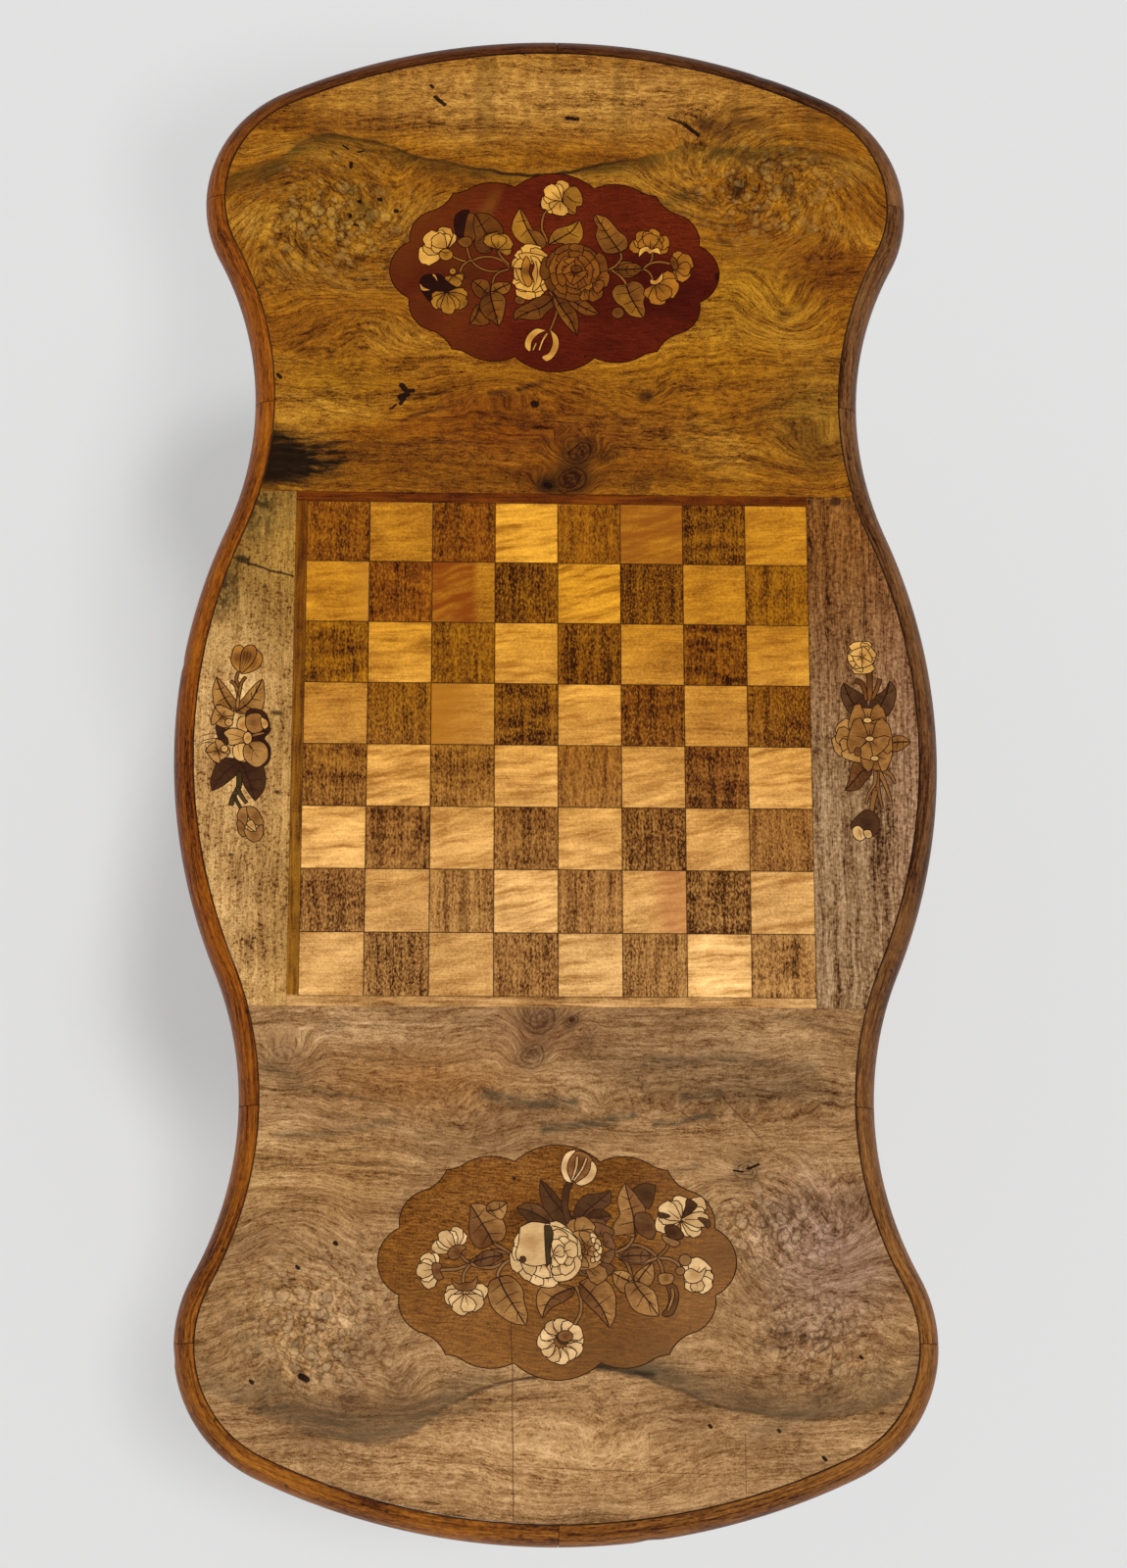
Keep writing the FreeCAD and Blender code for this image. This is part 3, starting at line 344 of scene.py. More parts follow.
def burr(name, seed, figure, ground, tints, bulges, burrs, wave, knots, veins, ink):
    """Burr walnut. Its grain runs along X in fine crimped lines, flows round the bulges and turns over in
    the burrs, where it breaks into domes. A smoky line crosses it; knots, veins and small marks lie on it."""
    t = Tree(name, figure)
    place = t.place
    loose = t.drift(place, 85, 16, 2.0, seed)
    x, y, _ = t.parts(place)
    curl, flow = 0.0, place
    for centre, radii, amount, twist in burrs:
        here = t.blot(loose, centre, radii, 0, 0.95)
        loose = t.after(loose, here)
        curl = t.most(curl, t.times(here, amount))
        flow = t.twirled(flow, centre, t.times(here, math.radians(twist)))
    along, across, _ = t.parts(flow)
    for centre, radii, rise in bulges:
        across = t.linear(t.blot(loose, centre, radii, 0, 1.0), rise, across)
        loose = t.after(loose, across)
    grain = t.drift(t.joined(along, across), 75, 9, 1.0, seed + 4)
    crimped = t.drift(grain, 13, t.linear(curl, 4.0, 1.8), 2.0, seed + 8)
    broad = t.noise(grain, (190, 15), 2.0, 0.5, seed + 1)
    streak = t.noise(crimped, (60, 3.4), 3.0, 0.62, seed)
    lines = t.noise(crimped, (20, 1.5), 2.0, 0.6, seed + 6)
    fine = t.noise(crimped, (5.0, 1.2), 2.0, 0.7, seed + 2)
    lumps = t.drift(crimped, 13, t.times(curl, 6.0), 2.0, seed)
    mottle = t.noise(lumps, 7.5, 3.0, 0.62, seed + 3)
    grit = t.noise(place, 1.15, 2.0, 0.7, seed)

    colour = t.ramp(t.noise(loose, (120, 42), 3.0, 0.5, seed), (0.32, ground[0]), (0.5, ground[1]),
                    (0.72, ground[2]))
    for centre, radii, tone, amount in tints:
        here = t.times(t.blot(loose, centre, radii, 0, 0.95), amount)
        colour = t.tint(colour, tone, here)
        loose = t.after(loose, here)
    calm = t.linear(curl, -0.5, 1.0)
    level = t.waves((broad, 0.45), (streak, t.times(calm, 0.65)), (lines, 0.60), (fine, 0.6), (grit, 0.6),
                    (mottle, t.linear(curl, 1.1, 0.40)))
    pore = pores(t, crimped, 3.2, 1.1, 0.28, seed + 5)
    colour = t.shaded(colour, t.times(level, t.linear(pore, -0.36, 1.07)))
    for size, reach, domes, rings in ((12.0, 7.0, 0.50, 0.62), (7.0, 4.0, 0.45, 0.50)):
        swirls = t.cells(t.drift(place, 14, reach, 2.0, seed + size), size)
        dome = t.times(t.step(swirls, 0.42, 0.12), curl)
        colour = t.tint(colour, ground[3], dome, domes)
        ring = t.times(t.step(t.size(t.minus(swirls, 0.40)), 0.09, 0.01), curl)
        colour = t.tint(colour, ground[4], ring, rings)

    # The smoky line: its middle, its height, how strongly it shows and how smoky its side is, along X.
    line, low, high, strength, smoke, side, depth, dark = wave
    run = t.between(x, -240, 240)
    above = t.minus(y, t.between(t.curve(run, *line), 0.0, 1.0, low, high))
    above = t.linear(t.minus(t.noise(place, 18, 3.0, 0.5, seed), 0.5), 5.0, above)
    far = t.times(above, side)
    veil = t.times(t.step(far, -3, 2), t.step(far, depth, 1))
    veil = t.times(veil, t.curve(run, *smoke))
    veil = t.times(veil, t.between(t.noise(grain, (50, 7), 2.0, 0.5, seed), 0.3, 0.62, 0.35, 1.0))
    colour = t.tint(colour, dark, veil)
    thread = t.times(t.step(t.size(above), 2.2, 0.2), t.curve(run, *strength))
    colour = t.tint(colour, "2f1c0b", thread)

    wavy = t.drift(place, 16, 3.0, 3.0, seed + 7)
    broken = t.between(t.noise(crimped, (14, 2.5), 2.0, 0.6, seed + 9), 0.35, 0.60, 0.35, 1.0)
    tones = {}
    for points, width, amount, tone in veins:
        here = t.times(t.path(wavy, points, width, 1.0), amount)
        tones[tone] = t.most(tones.get(tone, 0.0), here)
        wavy = t.after(wavy, here)
    for tone, amount in tones.items():
        colour = t.tint(colour, tone, amount, broken)

    steady = place
    for centre, size, amount in knots:
        spot = t.local(t.drift(steady, 15, 4.0, 2.0, centre[0]), centre, 25, (size, size * 0.76))
        away = t.length(spot)
        spot_x, spot_y, _ = t.parts(spot)
        turns = t.math("SINE", t.linear(away, 19.0, t.math("ARCTAN2", spot_y, spot_x)))
        patch = t.step(t.noise(place, 5.0, 3.0, 0.6, centre[0]), 0.42, 0.60)
        rings = t.times(t.step(turns, -0.1, 0.7), t.linear(patch, 0.40, 0.60))
        knot = t.most(rings, t.times(patch, t.step(away, 0.75, 0.2)))
        halo = t.times(t.step(away, 1.7, 0.8), 0.55 * amount)
        colour = t.tint(colour, ground[4], halo)
        colour = t.tint(colour, "321204", knot, t.times(t.step(away, 1.05, 0.8), amount))
        steady = t.after(place, knot)
    ragged = t.drift(place, 3.5, 0.7, 2.0, seed)
    marks = 0.0
    for a, b, width in ink:
        marks = t.most(marks, t.stroke(ragged, a, b, width + 0.6, 0.3))
        ragged = t.after(ragged, marks)
    colour = t.tint(colour, "1c0a06", marks, 0.96)
    return t, crimped, colour, fine, t.waves((fine, 0.3), (lines, 0.2))


def burr_north():
    tints = (((0, 495), (250, 52), "b07b34", 0.9), ((-165, 395), (80, 75), "89570e", 0.7),
             ((160, 440), (85, 60), "85510a", 0.7), ((-20, 228), (170, 50), "703300", 0.9),
             ((190, 250), (60, 70), "835814", 0.8), ((-160, 272), (60, 34), "915d08", 0.7),
             ((100, 285), (90, 42), "9c6208", 0.7), ((0, 196), (200, 15), "5c2e02", 0.6),
             ((140, 335), (70, 60), "9f6a10", 0.7), ((-30, 270), (80, 18), "955806", 0.6),
             ((-140, 215), (70, 30), "683400", 0.8))
    bulges = (((-145, 318), (70, 40), -22), ((15, 216), (30, 24), 24), ((9, 194), (26, 18), 20),
              ((-8, 192), (20, 14), 12), ((191, 216), (56, 36), 24), ((166, 325), (40, 44), 26),
              ((64, 261), (22, 16), 9), ((-40, 262), (70, 22), -14), ((30, 285), (60, 30), 14))
    burrs = (((-165, 392), (86, 82), 1.0, 80), ((150, 425), (100, 74), 0.9, -90),
             ((-30, 500), (260, 40), 0.12, 0))
    wave = (((0.0, 0.07), (0.03, 0.13), (0.07, 0.19), (0.10, 0.30), (0.12, 0.37), (0.15, 0.40), (0.20, 0.37),
             (0.25, 0.31), (0.29, 0.23), (0.34, 0.19), (0.40, 0.14), (0.44, 0.11), (0.50, 0.12), (0.55, 0.18),
             (0.62, 0.25), (0.67, 0.31), (0.70, 0.36), (0.76, 0.35), (0.85, 0.36), (1.0, 0.2)), 420, 520,
            ((0.0, 0.1), (0.12, 0.35), (0.2, 0.70), (0.28, 0.60), (0.36, 0.75), (0.44, 1.0), (0.55, 0.9),
             (0.62, 0.5), (0.70, 0.15), (1.0, 0.0)),
            ((0.0, 0.85), (0.12, 0.9), (0.2, 0.6), (0.32, 0.7), (0.42, 0.5), (0.5, 0.2), (0.58, 0.75),
             (0.66, 0.7), (0.74, 0.85), (0.85, 0.5), (1.0, 0.3)), -1, 19, "46330a")
    knots = (((15, 216), 12, 1.0), ((9, 196), 14, 1.15), ((-8, 192), 7, 1.4), ((191, 216), 15, 0.3),
             ((166, 325), 6, 0.6), ((64, 261), 5.5, 1.2), ((36, 214), 8, 0.6), ((58, 192), 8, 0.5),
             ((-189, 374), 7, 0.35), ((-130, 410), 7, 0.4), ((-145, 402), 9, 0.35))
    brown, black, olive = "45210a", "2c1306", "40300a"
    veins = (([(-196, 258), (-168, 247), (-133, 240), (-108, 240)], 2.6, 0.75, brown),
             ([(-112, 240), (-94, 246), (-82, 250)], 5.5, 0.9, brown),
             ([(-106, 259), (-87, 259), (-77, 262)], 4.0, 0.9, black),
             ([(-49, 260), (-36, 262)], 6.0, 0.85, brown), ([(-29, 264), (-10, 269)], 6.0, 0.9, black),
             ([(11, 262), (29, 255), (50, 239)], 4.5, 0.6, brown), ([(22, 266), (42, 254)], 3.0, 0.5, brown),
             ([(-188, 220), (-62, 223), (22, 226)], 7.0, 0.5, brown),
             ([(92, 234), (149, 253), (199, 265)], 2.6, 0.6, olive),
             ([(80, 222), (140, 240), (205, 250)], 2.4, 0.5, olive),
             ([(110, 205), (150, 228), (196, 240)], 2.4, 0.5, olive),
             ([(-203, 266), (-175, 261), (-150, 268), (-119, 265)], 2.2, 0.6, brown),
             ([(-200, 285), (-160, 279), (-120, 290)], 2.0, 0.5, brown),
             ([(-60, 236), (-20, 238)], 4.0, 0.5, brown), ([(108, 474), (124, 466)], 24, 0.75, brown),
             ([(80, 410), (98, 418)], 16, 0.8, olive), ([(126, 452), (144, 440), (166, 436)], 9, 0.6, brown),
             ([(164, 424), (174, 420)], 13, 0.7, brown), ([(160, 486), (164, 440), (160, 420)], 9, 0.35,
                                                          brown), ([(118, 385), (128, 376)], 7, 0.6, brown),
             ([(-150, 416), (-136, 396)], 16, 0.5, olive), ([(-200, 398), (-190, 414)], 14, 0.4, brown))
    ink = (((-90, 492), (-83, 486), 2.8), ((-93, 501), (-92, 500), 2.4), ((7, 477), (15, 476), 2.8),
           ((82, 478), (94, 473), 1.3), ((94, 473), (104, 465), 3.0), ((-112, 266), (-108, 261), 4.2),
           ((-109, 262), (-104, 262), 3.2), ((-113, 257), (-108, 259), 4.6), ((-110, 256), (-113, 252), 2.8),
           ((-116, 251), (-120, 248), 1.4), ((-201, 273), (-199, 271), 2.8), ((-157, 452), (-153, 449), 1.2),
           ((-146, 447), (-142, 448), 1.1), ((-151, 438), (-151, 435), 2.4), ((-118, 401), (-117, 401), 3.2),
           ((-130, 410), (-129, 410), 3.0), ((-145, 408), (-144, 408), 2.4), ((-151, 397), (-151, 396), 3.0),
           ((-148, 390), (-145, 389), 1.3), ((-17, 253), (-16, 253), 5.4), ((-8, 192), (-6, 191), 5.0))
    t, grain, colour, fine, lift = burr("burr_walnut_north", 3.0, 2.8,
                                        ("753e04", "8d5408", "a9721f", "b08a48", "3f2206"), tints, bulges,
                                        burrs, wave, knots, veins, ink)
    x, y, _ = t.parts(t.place)
    shade = t.noise(t.drift(t.place, 22, 6, 2.0, 3.0), (34, 9), 3.0, 0.6, 5.0)
    swirl = t.times(t.blot(t.place, (135, 465), (52, 26), -20, 0.9), t.step(shade, 0.47, 0.62))
    colour = t.tint(colour, "452504", swirl, 0.6)
    brush = t.noise(grain, (36, 4.2), 3.0, 0.6, 8.0)
    bands = t.noise(t.place, (15, 500), 1.0, 0.5, 6.0)
    ribbed = t.times(t.step(bands, 0.50, 0.68), t.times(t.step(y, 425, 480), 0.35))
    colour = t.tint(colour, "5f3b0d", ribbed)
    run = t.joined(t.linear(t.minus(brush, 0.5), 120.0, x), y)
    stained = t.drift(run, 9, 4, 2.0, 1.0)
    stain = t.most(t.blot(stained, (-208, 208), (72, 31), 0, 0.6),
                   t.blot(stained, (-222, 214), (50, 38), 0, 0.6))
    colour = t.tint(colour, "170d06", stain, 0.97)
    return t.finish(colour, (fine, 0.40, 0.54), lift, 0.035)


def burr_south():
    tints = (((-90, -235), (120, 36), "95622f", 0.8), ((100, -225), (120, 35), "8e6943", 0.8),
             ((150, -240), (80, 16), "75593a", 0.6), ((-150, -300), (80, 60), "a1733f", 0.7),
             ((180, -350), (70, 80), "94705a", 0.85), ((0, -485), (170, 56), "ad804f", 0.9),
             ((-190, -400), (60, 70), "a57a48", 0.7), ((-10, -200), (70, 30), "7f5330", 0.8),
             ((165, -385), (50, 50), "946f50", 0.6), ((60, -290), (70, 24), "9a6f42", 0.6),
             ((-215, -300), (40, 60), "ab8049", 0.6), ((-30, -265), (70, 24), "7c5430", 0.6))
    bulges = (((-10, -194), (36, 26), 26), ((-18, -219), (24, 20), 16), ((-190, -221), (36, 24), 18),
              ((128, -296), (34, 22), 16), ((-105, -440), (26, 26), 15), ((60, -262), (90, 34), 16),
              ((160, -266), (90, 26), 12), ((-60, -270), (80, 40), 18), ((20, -500), (140, 60), 16),
              ((-180, -330), (60, 40), -14))
    burrs = (((-160, -400), (84, 74), 1.0, 35), ((152, -335), (78, 62), 1.0, 70),
             ((172, -405), (74, 66), 1.0, -25), ((0, -500), (260, 30), 0.1, 0))
    wave = (((0.0, 0.55), (0.20, 0.22), (0.24, 0.18), (0.29, 0.24), (0.35, 0.44), (0.41, 0.56), (0.50, 0.64),
             (0.556, 0.69), (0.65, 0.56), (0.756, 0.39), (0.86, 0.35), (1.0, 0.62)), -495, -395,
            ((0.0, 0.0), (0.26, 0.1), (0.36, 0.4), (0.46, 0.7), (0.54, 0.55), (0.66, 0.5), (0.78, 0.35),
             (1.0, 0.0)),
            ((0.0, 0.35), (0.2, 0.75), (0.36, 0.7), (0.46, 0.1), (0.53, 0.4), (0.60, 0.95), (0.68, 0.75),
             (1.0, 0.6)), 1, 30, "5c4a33")
    knots = (((-12, -193), 14, 0.6), ((-18, -219), 12, 0.55), ((10, -195), 6, 0.9), ((20, -207), 6, 0.4),
             ((128, -296), 9, 0.65), ((-190, -221), 13, 0.3), ((-155, -199), 8, 0.4), ((146, -326), 13, 0.35),
             ((-105, -440), 12, 0.35), ((-137, -447), 9, 0.4), ((152, -405), 12, 0.35))
    smoky, brown, black = "463c2a", "5a3d20", "2f2618"
    veins = (([(-10, -268), (20, -264), (50, -259)], 11, 0.9, smoky),
             ([(66, -265), (90, -261), (104, -259)], 8, 0.9, smoky),
             ([(104, -259), (127, -258), (187, -257)], 2.2, 0.5, brown),
             ([(86, -247), (110, -243)], 11, 0.9, black),
             ([(110, -243), (134, -242), (154, -244), (198, -254)], 2.4, 0.8, brown),
             ([(-50, -246), (-23, -251), (10, -250)], 16, 0.75, smoky),
             ([(-149, -245), (-126, -250), (-108, -257)], 5, 0.7, brown),
             ([(-190, -238), (-149, -245)], 9, 0.4, smoky),
             ([(-190, -274), (-152, -272), (-112, -263)], 11, 0.45, smoky),
             ([(-200, -295), (-145, -291), (-95, -295)], 2.6, 0.7, brown),
             ([(-158, -284), (-112, -280), (-90, -288)], 2.4, 0.7, brown),
             ([(-62, -277), (-50, -280), (-36, -279)], 2.4, 0.7, brown),
             ([(60, -223), (114, -220), (174, -226)], 13, 0.5, smoky),
             ([(-200, -226), (-176, -234)], 14, 0.45, smoky), ([(-150, -198), (-40, -194)], 3.0, 0.4, brown),
             ([(-120, -226), (-60, -222)], 3.0, 0.4, brown), ([(150, -190), (196, -200)], 10, 0.4, smoky),
             ([(70, -300), (96, -292)], 9, 0.4, smoky), ([(60, -243), (180, -236)], 2.2, 0.4, brown))
    ink = (((-171, -433), (-167, -435), 4.5), ((-150, -345), (-149, -346), 2.6),
           ((-175, -361), (-174, -362), 2.4), ((202, -420), (203, -421), 2.2),
           ((119, -296), (125, -297), 1.1), ((128, -295), (136, -292), 1.3),
           ((-204, -436), (-203, -437), 2.2), ((176, -486), (177, -487), 2.4),
           ((100, -465), (101, -466), 2.2), ((146, -468), (147, -469), 2.0))
    cracks = (((-31, -398), (-30, -528), 1.5, 0.75), ((124, -470), (124, -509), 1.2, 0.6),
              ((112, -247), (139, -276), 1.4, 0.7), ((-125, -485), (-40, -491), 1.2, 0.5),
              ((-40, -491), (106, -497), 1.2, 0.5), ((74, -250), (103, -270), 1.2, 0.6),
              ((60, -470), (61, -520), 0.9, 0.4), ((92, -478), (93, -516), 0.9, 0.35),
              ((70, -498), (160, -500), 0.9, 0.4), ((192, -318), (193, -345), 1.2, 0.5))
    t, grain, colour, fine, lift = burr("burr_walnut_south", 23.0, 2.2,
                                        ("805b37", "997045", "b18657", "bc9a72", "4f341d"), tints, bulges,
                                        burrs, wave, knots, veins, ink)
    brush = t.noise(grain, (44, 5.5), 3.0, 0.6, 8.0)
    upper = t.drift(t.place, 34, 8, 3.0, 9.0)
    smoke = 0.0
    for a, b, width, amount in (((-160, -466), (-60, -452), 26, 0.55), ((130, -470), (215, -430), 24, 0.45),
                                ((-215, -395), (-190, -440), 30, 0.5)):
        smoke = t.most(smoke, t.times(t.stroke(upper, a, b, width, 1.0), amount))
    smoke = t.times(smoke, t.between(brush, 0.36, 0.60, 1.0, 0.3))
    colour = t.tint(colour, "4f3f2a", smoke)
    heart = t.stroke(t.drift(t.place, 20, 3, 2.0, 3.0), (6, -424), (62, -432), 8, 1.0)
    colour = t.tint(colour, "2c2418", heart, 0.85)
    for a, b, width, amount in cracks:
        crack = t.stroke(t.drift(t.place, 14, 0.7, 2.0, a[0]), a, b, width, 0.9)
        colour = t.tint(colour, "5a3213", crack, amount)
    return t.finish(colour, (fine, 0.40, 0.54), lift, 0.035)


def side_walnut():
    """The two fields beside the board: the west one pale and speckled, the east one brown and streaked."""
    t = Tree("side_walnut", 3.0)
    place = t.place
    x, y, _ = t.parts(place)
    upright = t.moved(t.drift(place, 50, 4, 2.0, 4.0), (0, 0, 0), 90)
    streak = t.noise(upright, (150, 4.5), 4.0, 0.6, 4.0)
    fine = t.noise(upright, (9, 1.0), 3.0, 0.6, 5.0)
    speckle = t.noise(place, 2.1, 2.0, 0.6, 6.0)
    cloud = t.noise(t.drift(place, 30, 8, 2.0), 42, 3.0, 0.55, 8.0)

    north = t.step(y, -60, 170)
    west = t.mix(t.step(y, 20, 150), "c8995c", "a27632")
    west = t.tint(west, "9f6f28", t.step(x, -222, -190), 0.45)
    west = t.shaded(west, t.waves((streak, 0.55), (cloud, 0.6), (fine, 0.5), (speckle, 1.0)))
    dots = t.step(speckle, 0.56, 0.66)
    west = t.tint(west, "5a3a14", dots, 0.7)
    stained = t.drift(place, 24, 9, 3.0, 2.0)
    torn = t.step(t.noise(t.drift(place, 9, 3.0), (5, 9), 3.0, 0.65, 3.0), 0.40, 0.56)
    stain = t.most(t.blot(stained, (-234, 112), (20, 34), -20, 0.9),
                   t.blot(stained, (-212, 172), (34, 38), 0, 0.95))
    west = t.tint(west, "33240a", stain, t.linear(torn, 0.55, 0.35))
    crack = t.path(t.drift(place, 9, 1.6, 2.0, 3.0), [(-226, 133), (-213, 129), (-204, 126), (-188, 122)],
                   2.6, 0.6)
    for spot, width in (((-223, 134), 8.0), ((-196, 22), 5.5), ((-195, -35), 4.5), ((-226, -80), 3.0),
                        ((-209, -138), 2.4)):
        crack = t.most(crack, t.blot(t.drift(place, 5, 1.5), spot, (width, width * 0.5), -10, 0.7))
    west = t.tint(west, "241606", crack, 0.85)

    east = t.mix(north, "94704b", "7e4c1b")
    east = t.tint(east, t.mix(north, "9c7254", "825234"), t.step(x, 205, 262), 0.6)
    lanes = t.noise(upright, (300, 9), 2.0, 0.5, 14.0)
    east = t.shaded(east, t.waves((streak, 1.0), (lanes, 0.5), (fine, 0.8), (speckle, 0.8)))
    wander = t.drift(t.drift(place, 55, 7, 1.0, 6.0), 12, 0.6)
    traces = t.size(t.minus(t.math("FRACT", t.over(t.parts(wander)[0], 8.5)), 0.5))
    traces = t.times(t.step(traces, 0.10, 0.0), t.step(t.noise(wander, (14, 160), 2.0, 0.5, 5.0), 0.44, 0.62))
    east = t.tint(east, "3f2410", traces, 0.60)
    peg = t.blot(t.drift(place, 8, 1.0), (199, 182), (5.5, 5.0), 0, 0.5)
    east = t.tint(east, "33170a", peg, 0.85)
    colour = t.mix(t.step(x, -1, 1), west, east)
    return t.finish(colour, (fine, 0.42, 0.56), t.waves((fine, 0.5), (streak, 0.4)), 0.03)


def cell_edge(t, x, y):
    """Distance from the nearest line between two squares, and the square's own place in the grid."""
    column = t.over(t.plus(x, BOARD_HALF), SQUARE)
    row = t.over(t.minus(BOARD_HALF, y), SQUARE)
    across = t.size(t.minus(t.math("FRACT", column), 0.5))
    down = t.size(t.minus(t.math("FRACT", row), 0.5))
    edge = t.times(t.minus(0.5, t.most(across, down)), SQUARE)
    corner = t.joined(t.math("FLOOR", column), t.math("FLOOR", row))
    return edge, corner


def dice(t, corner, seed):
    """Three numbers from 0 to 1 that differ from square to square."""
    inputs = {"Vector": t.vector("ADD", corner, (seed, seed, seed))}
    return t.add("ShaderNodeTexWhiteNoise", inputs, noise_dimensions="3D").outputs["Color"]


def this_square(t, corner, column, row):
    """1 in one square, counted from the north-west corner, and 0 elsewhere."""
    away = t.length(t.vector("SUBTRACT", corner, (column - 1, row - 1, 0)))
    return t.math("LESS_THAN", away, 0.5)


def satinwood():
    t = Tree("satinwood", 3.2)
    place = t.place
    x, y, _ = t.parts(place)
    edge, corner = cell_edge(t, x, y)
    chance = dice(t, corner, 3.0)
    toss, tilt, bright = t.parts(chance)

    # Ripple: slightly slanted cross bands, each square cut from its own place in the veneer.
    shifted = t.vector("ADD", place, t.scaled(chance, 900.0))
    slant = t.linear(t.plus(tilt, 0.1), t.times(x, -0.24), y)
    wavy = t.drift(t.joined(x, slant, t.times(toss, 800.0)), 24, 3.5, 2.0, 2.0)
    ripple = t.noise(wavy, (38, 5.0), 2.5, 0.55, 4.0)
    silk = t.noise(shifted, (22, 1.0), 3.0, 0.6, 1.0)
    cloud = t.noise(shifted, 30, 2.0, 0.5, 6.0)
    grit = t.noise(place, 1.5, 2.0, 0.7, 3.0)

    north = t.step(y, -178, 120)
    colour = t.mix(north, "dca45e", "c8841a")
    colour = t.tint(colour, t.mix(north, "e4b06e", "d8942e"), t.step(toss, 0.3, 1.0), 0.4)
    level = t.waves((ripple, t.linear(bright, 0.45, 0.25)), (silk, 0.26), (cloud, 0.30), (grit, 0.34),
                    (bright, 0.10))
    colour = t.shaded(colour, level)
    valley = t.times(t.step(ripple, 0.47, 0.33), t.linear(bright, 0.45, 0.15))
    colour = t.tint(colour, t.mix(north, "b97830", "a05c02"), valley)

    # Three squares are cut from redder wood.
    broad = t.noise(t.drift(t.joined(x, t.linear(x, -0.30, y)), 20, 4, 1.5), (60, 5.0), 1.5, 0.5, 7.0)
    red = t.times(t.step(x, -54, -62), t.between(broad, 0.35, 0.6, 0.45, 0.95))
    colour = t.tint(colour, "8a3d02", red, this_square(t, corner, 3, 2))
    tawny = t.times(this_square(t, corner, 6, 1), t.between(broad, 0.3, 0.65, 0.35, 0.9))
    colour = t.tint(colour, "94500c", tawny)
    ruddy = t.times(this_square(t, corner, 3, 4), t.step(x, -45, -85, 0.25, 0.85))
    colour = t.tint(colour, "b06c16", ruddy)
    rosy = t.times(this_square(t, corner, 6, 7), t.step(x, 60, 78, 0.0, 0.6))
    colour = t.tint(colour, "bd7440", rosy)
    side = t.times(this_square(t, corner, 1, 2), t.step(x, -152, -134, 0.0, 0.6))
    colour = t.tint(colour, "c47f22", side)
    line = t.step(t.plus(edge, t.times(grit, 0.3)), 0.75, 0.35)
    colour = t.tint(colour, "4a2a0c", line, 0.85)
    return t.finish(colour, (silk, 0.36, 0.5), t.waves((silk, 0.5), (ripple, 0.4)), 0.03)


def square_walnut():
    t = Tree("square_walnut", 3.4)
    place = t.place
    x, y, _ = t.parts(place)
    edge, corner = cell_edge(t, x, y)
    chance = dice(t, corner, 8.0)
    toss, tilt, bright = t.parts(chance)
    shifted = t.vector("ADD", t.moved(place, (0, 0, 0), 90), t.scaled(chance, 700.0))
    warped = t.drift(shifted, 30, 2.0, 2.0)
    streak = t.noise(warped, (90, 5.5), 3.0, 0.6, 2.0)
    lines = t.noise(warped, (40, 1.4), 3.0, 0.6, 5.0)
    grit = t.noise(shifted, (2.4, 1.3), 2.0, 0.7, 3.0)
    sheen = t.noise(t.drift(t.vector("ADD", place, t.scaled(chance, 300.0)), 20, 5), (45, 9), 2.0, 0.5, 3.0)

    north = t.step(y, -178, 60)
    colour = t.mix(north, "a16f38", "824b02")
    reds = t.mix(north, "966430", "763a02")
    colour = t.tint(colour, reds, t.step(tilt, 0.35, 1.0))
    level = t.waves((streak, 0.65), (lines, 0.5), (grit, 1.2), (bright, 0.2), (sheen, t.times(toss, 0.9)))
    colour = t.shaded(colour, level)
    heart = t.times(t.step(streak, 0.44, 0.30), t.linear(bright, 0.35, 0.15))
    colour = t.tint(colour, t.mix(north, "643e18", "4a2400"), heart)
    glint = t.times(t.step(grit, 0.52, 0.68), t.step(sheen, 0.3, 0.6))
    colour = t.tint(colour, t.mix(north, "bb8b4c", "ac7414"), glint, 0.55)
    line = t.step(edge, 0.62, 0.3)
    colour = t.tint(colour, "3f210a", line, 0.7)
    return t.finish(colour, (grit, 0.38, 0.56), t.waves((grit, 0.6), (lines, 0.4)), 0.035)


def strip_walnut():
    t = Tree("strip_walnut", 3.2)
    place = t.place
    y = t.parts(place)[1]
    warped = t.drift(place, 40, 2.5, 2.0, 5.0)
    along = t.noise(warped, (60, 2.0), 3.0, 0.6, 3.0)
    upright = t.noise(t.moved(warped, (0, 0, 0), 90), (60, 2.0), 3.0, 0.6, 3.0)
    at_end = t.step(t.size(y), BOARD_HALF - 0.5, BOARD_HALF + 0.5)
    grain = t.plus(t.times(along, at_end), t.times(upright, t.minus(1.0, at_end)))
    fine = t.noise(place, 1.4, 2.0, 0.7, 6.0)
    cloud = t.noise(place, 26, 2.0, 0.5, 2.0)
    north = t.step(y, -120, 170)
    colour = t.mix(north, "855310", "6f3b00")
    colour = t.tint(colour, "bd8a50", t.step(y, -176, -179))
    colour = t.tint(colour, "682d00", t.step(y, 176, 179))
    colour = t.shaded(colour, t.waves((grain, 0.9), (cloud, 0.5), (fine, 0.4)))
    return t.finish(colour, (fine, 0.4, 0.55), grain, 0.03)


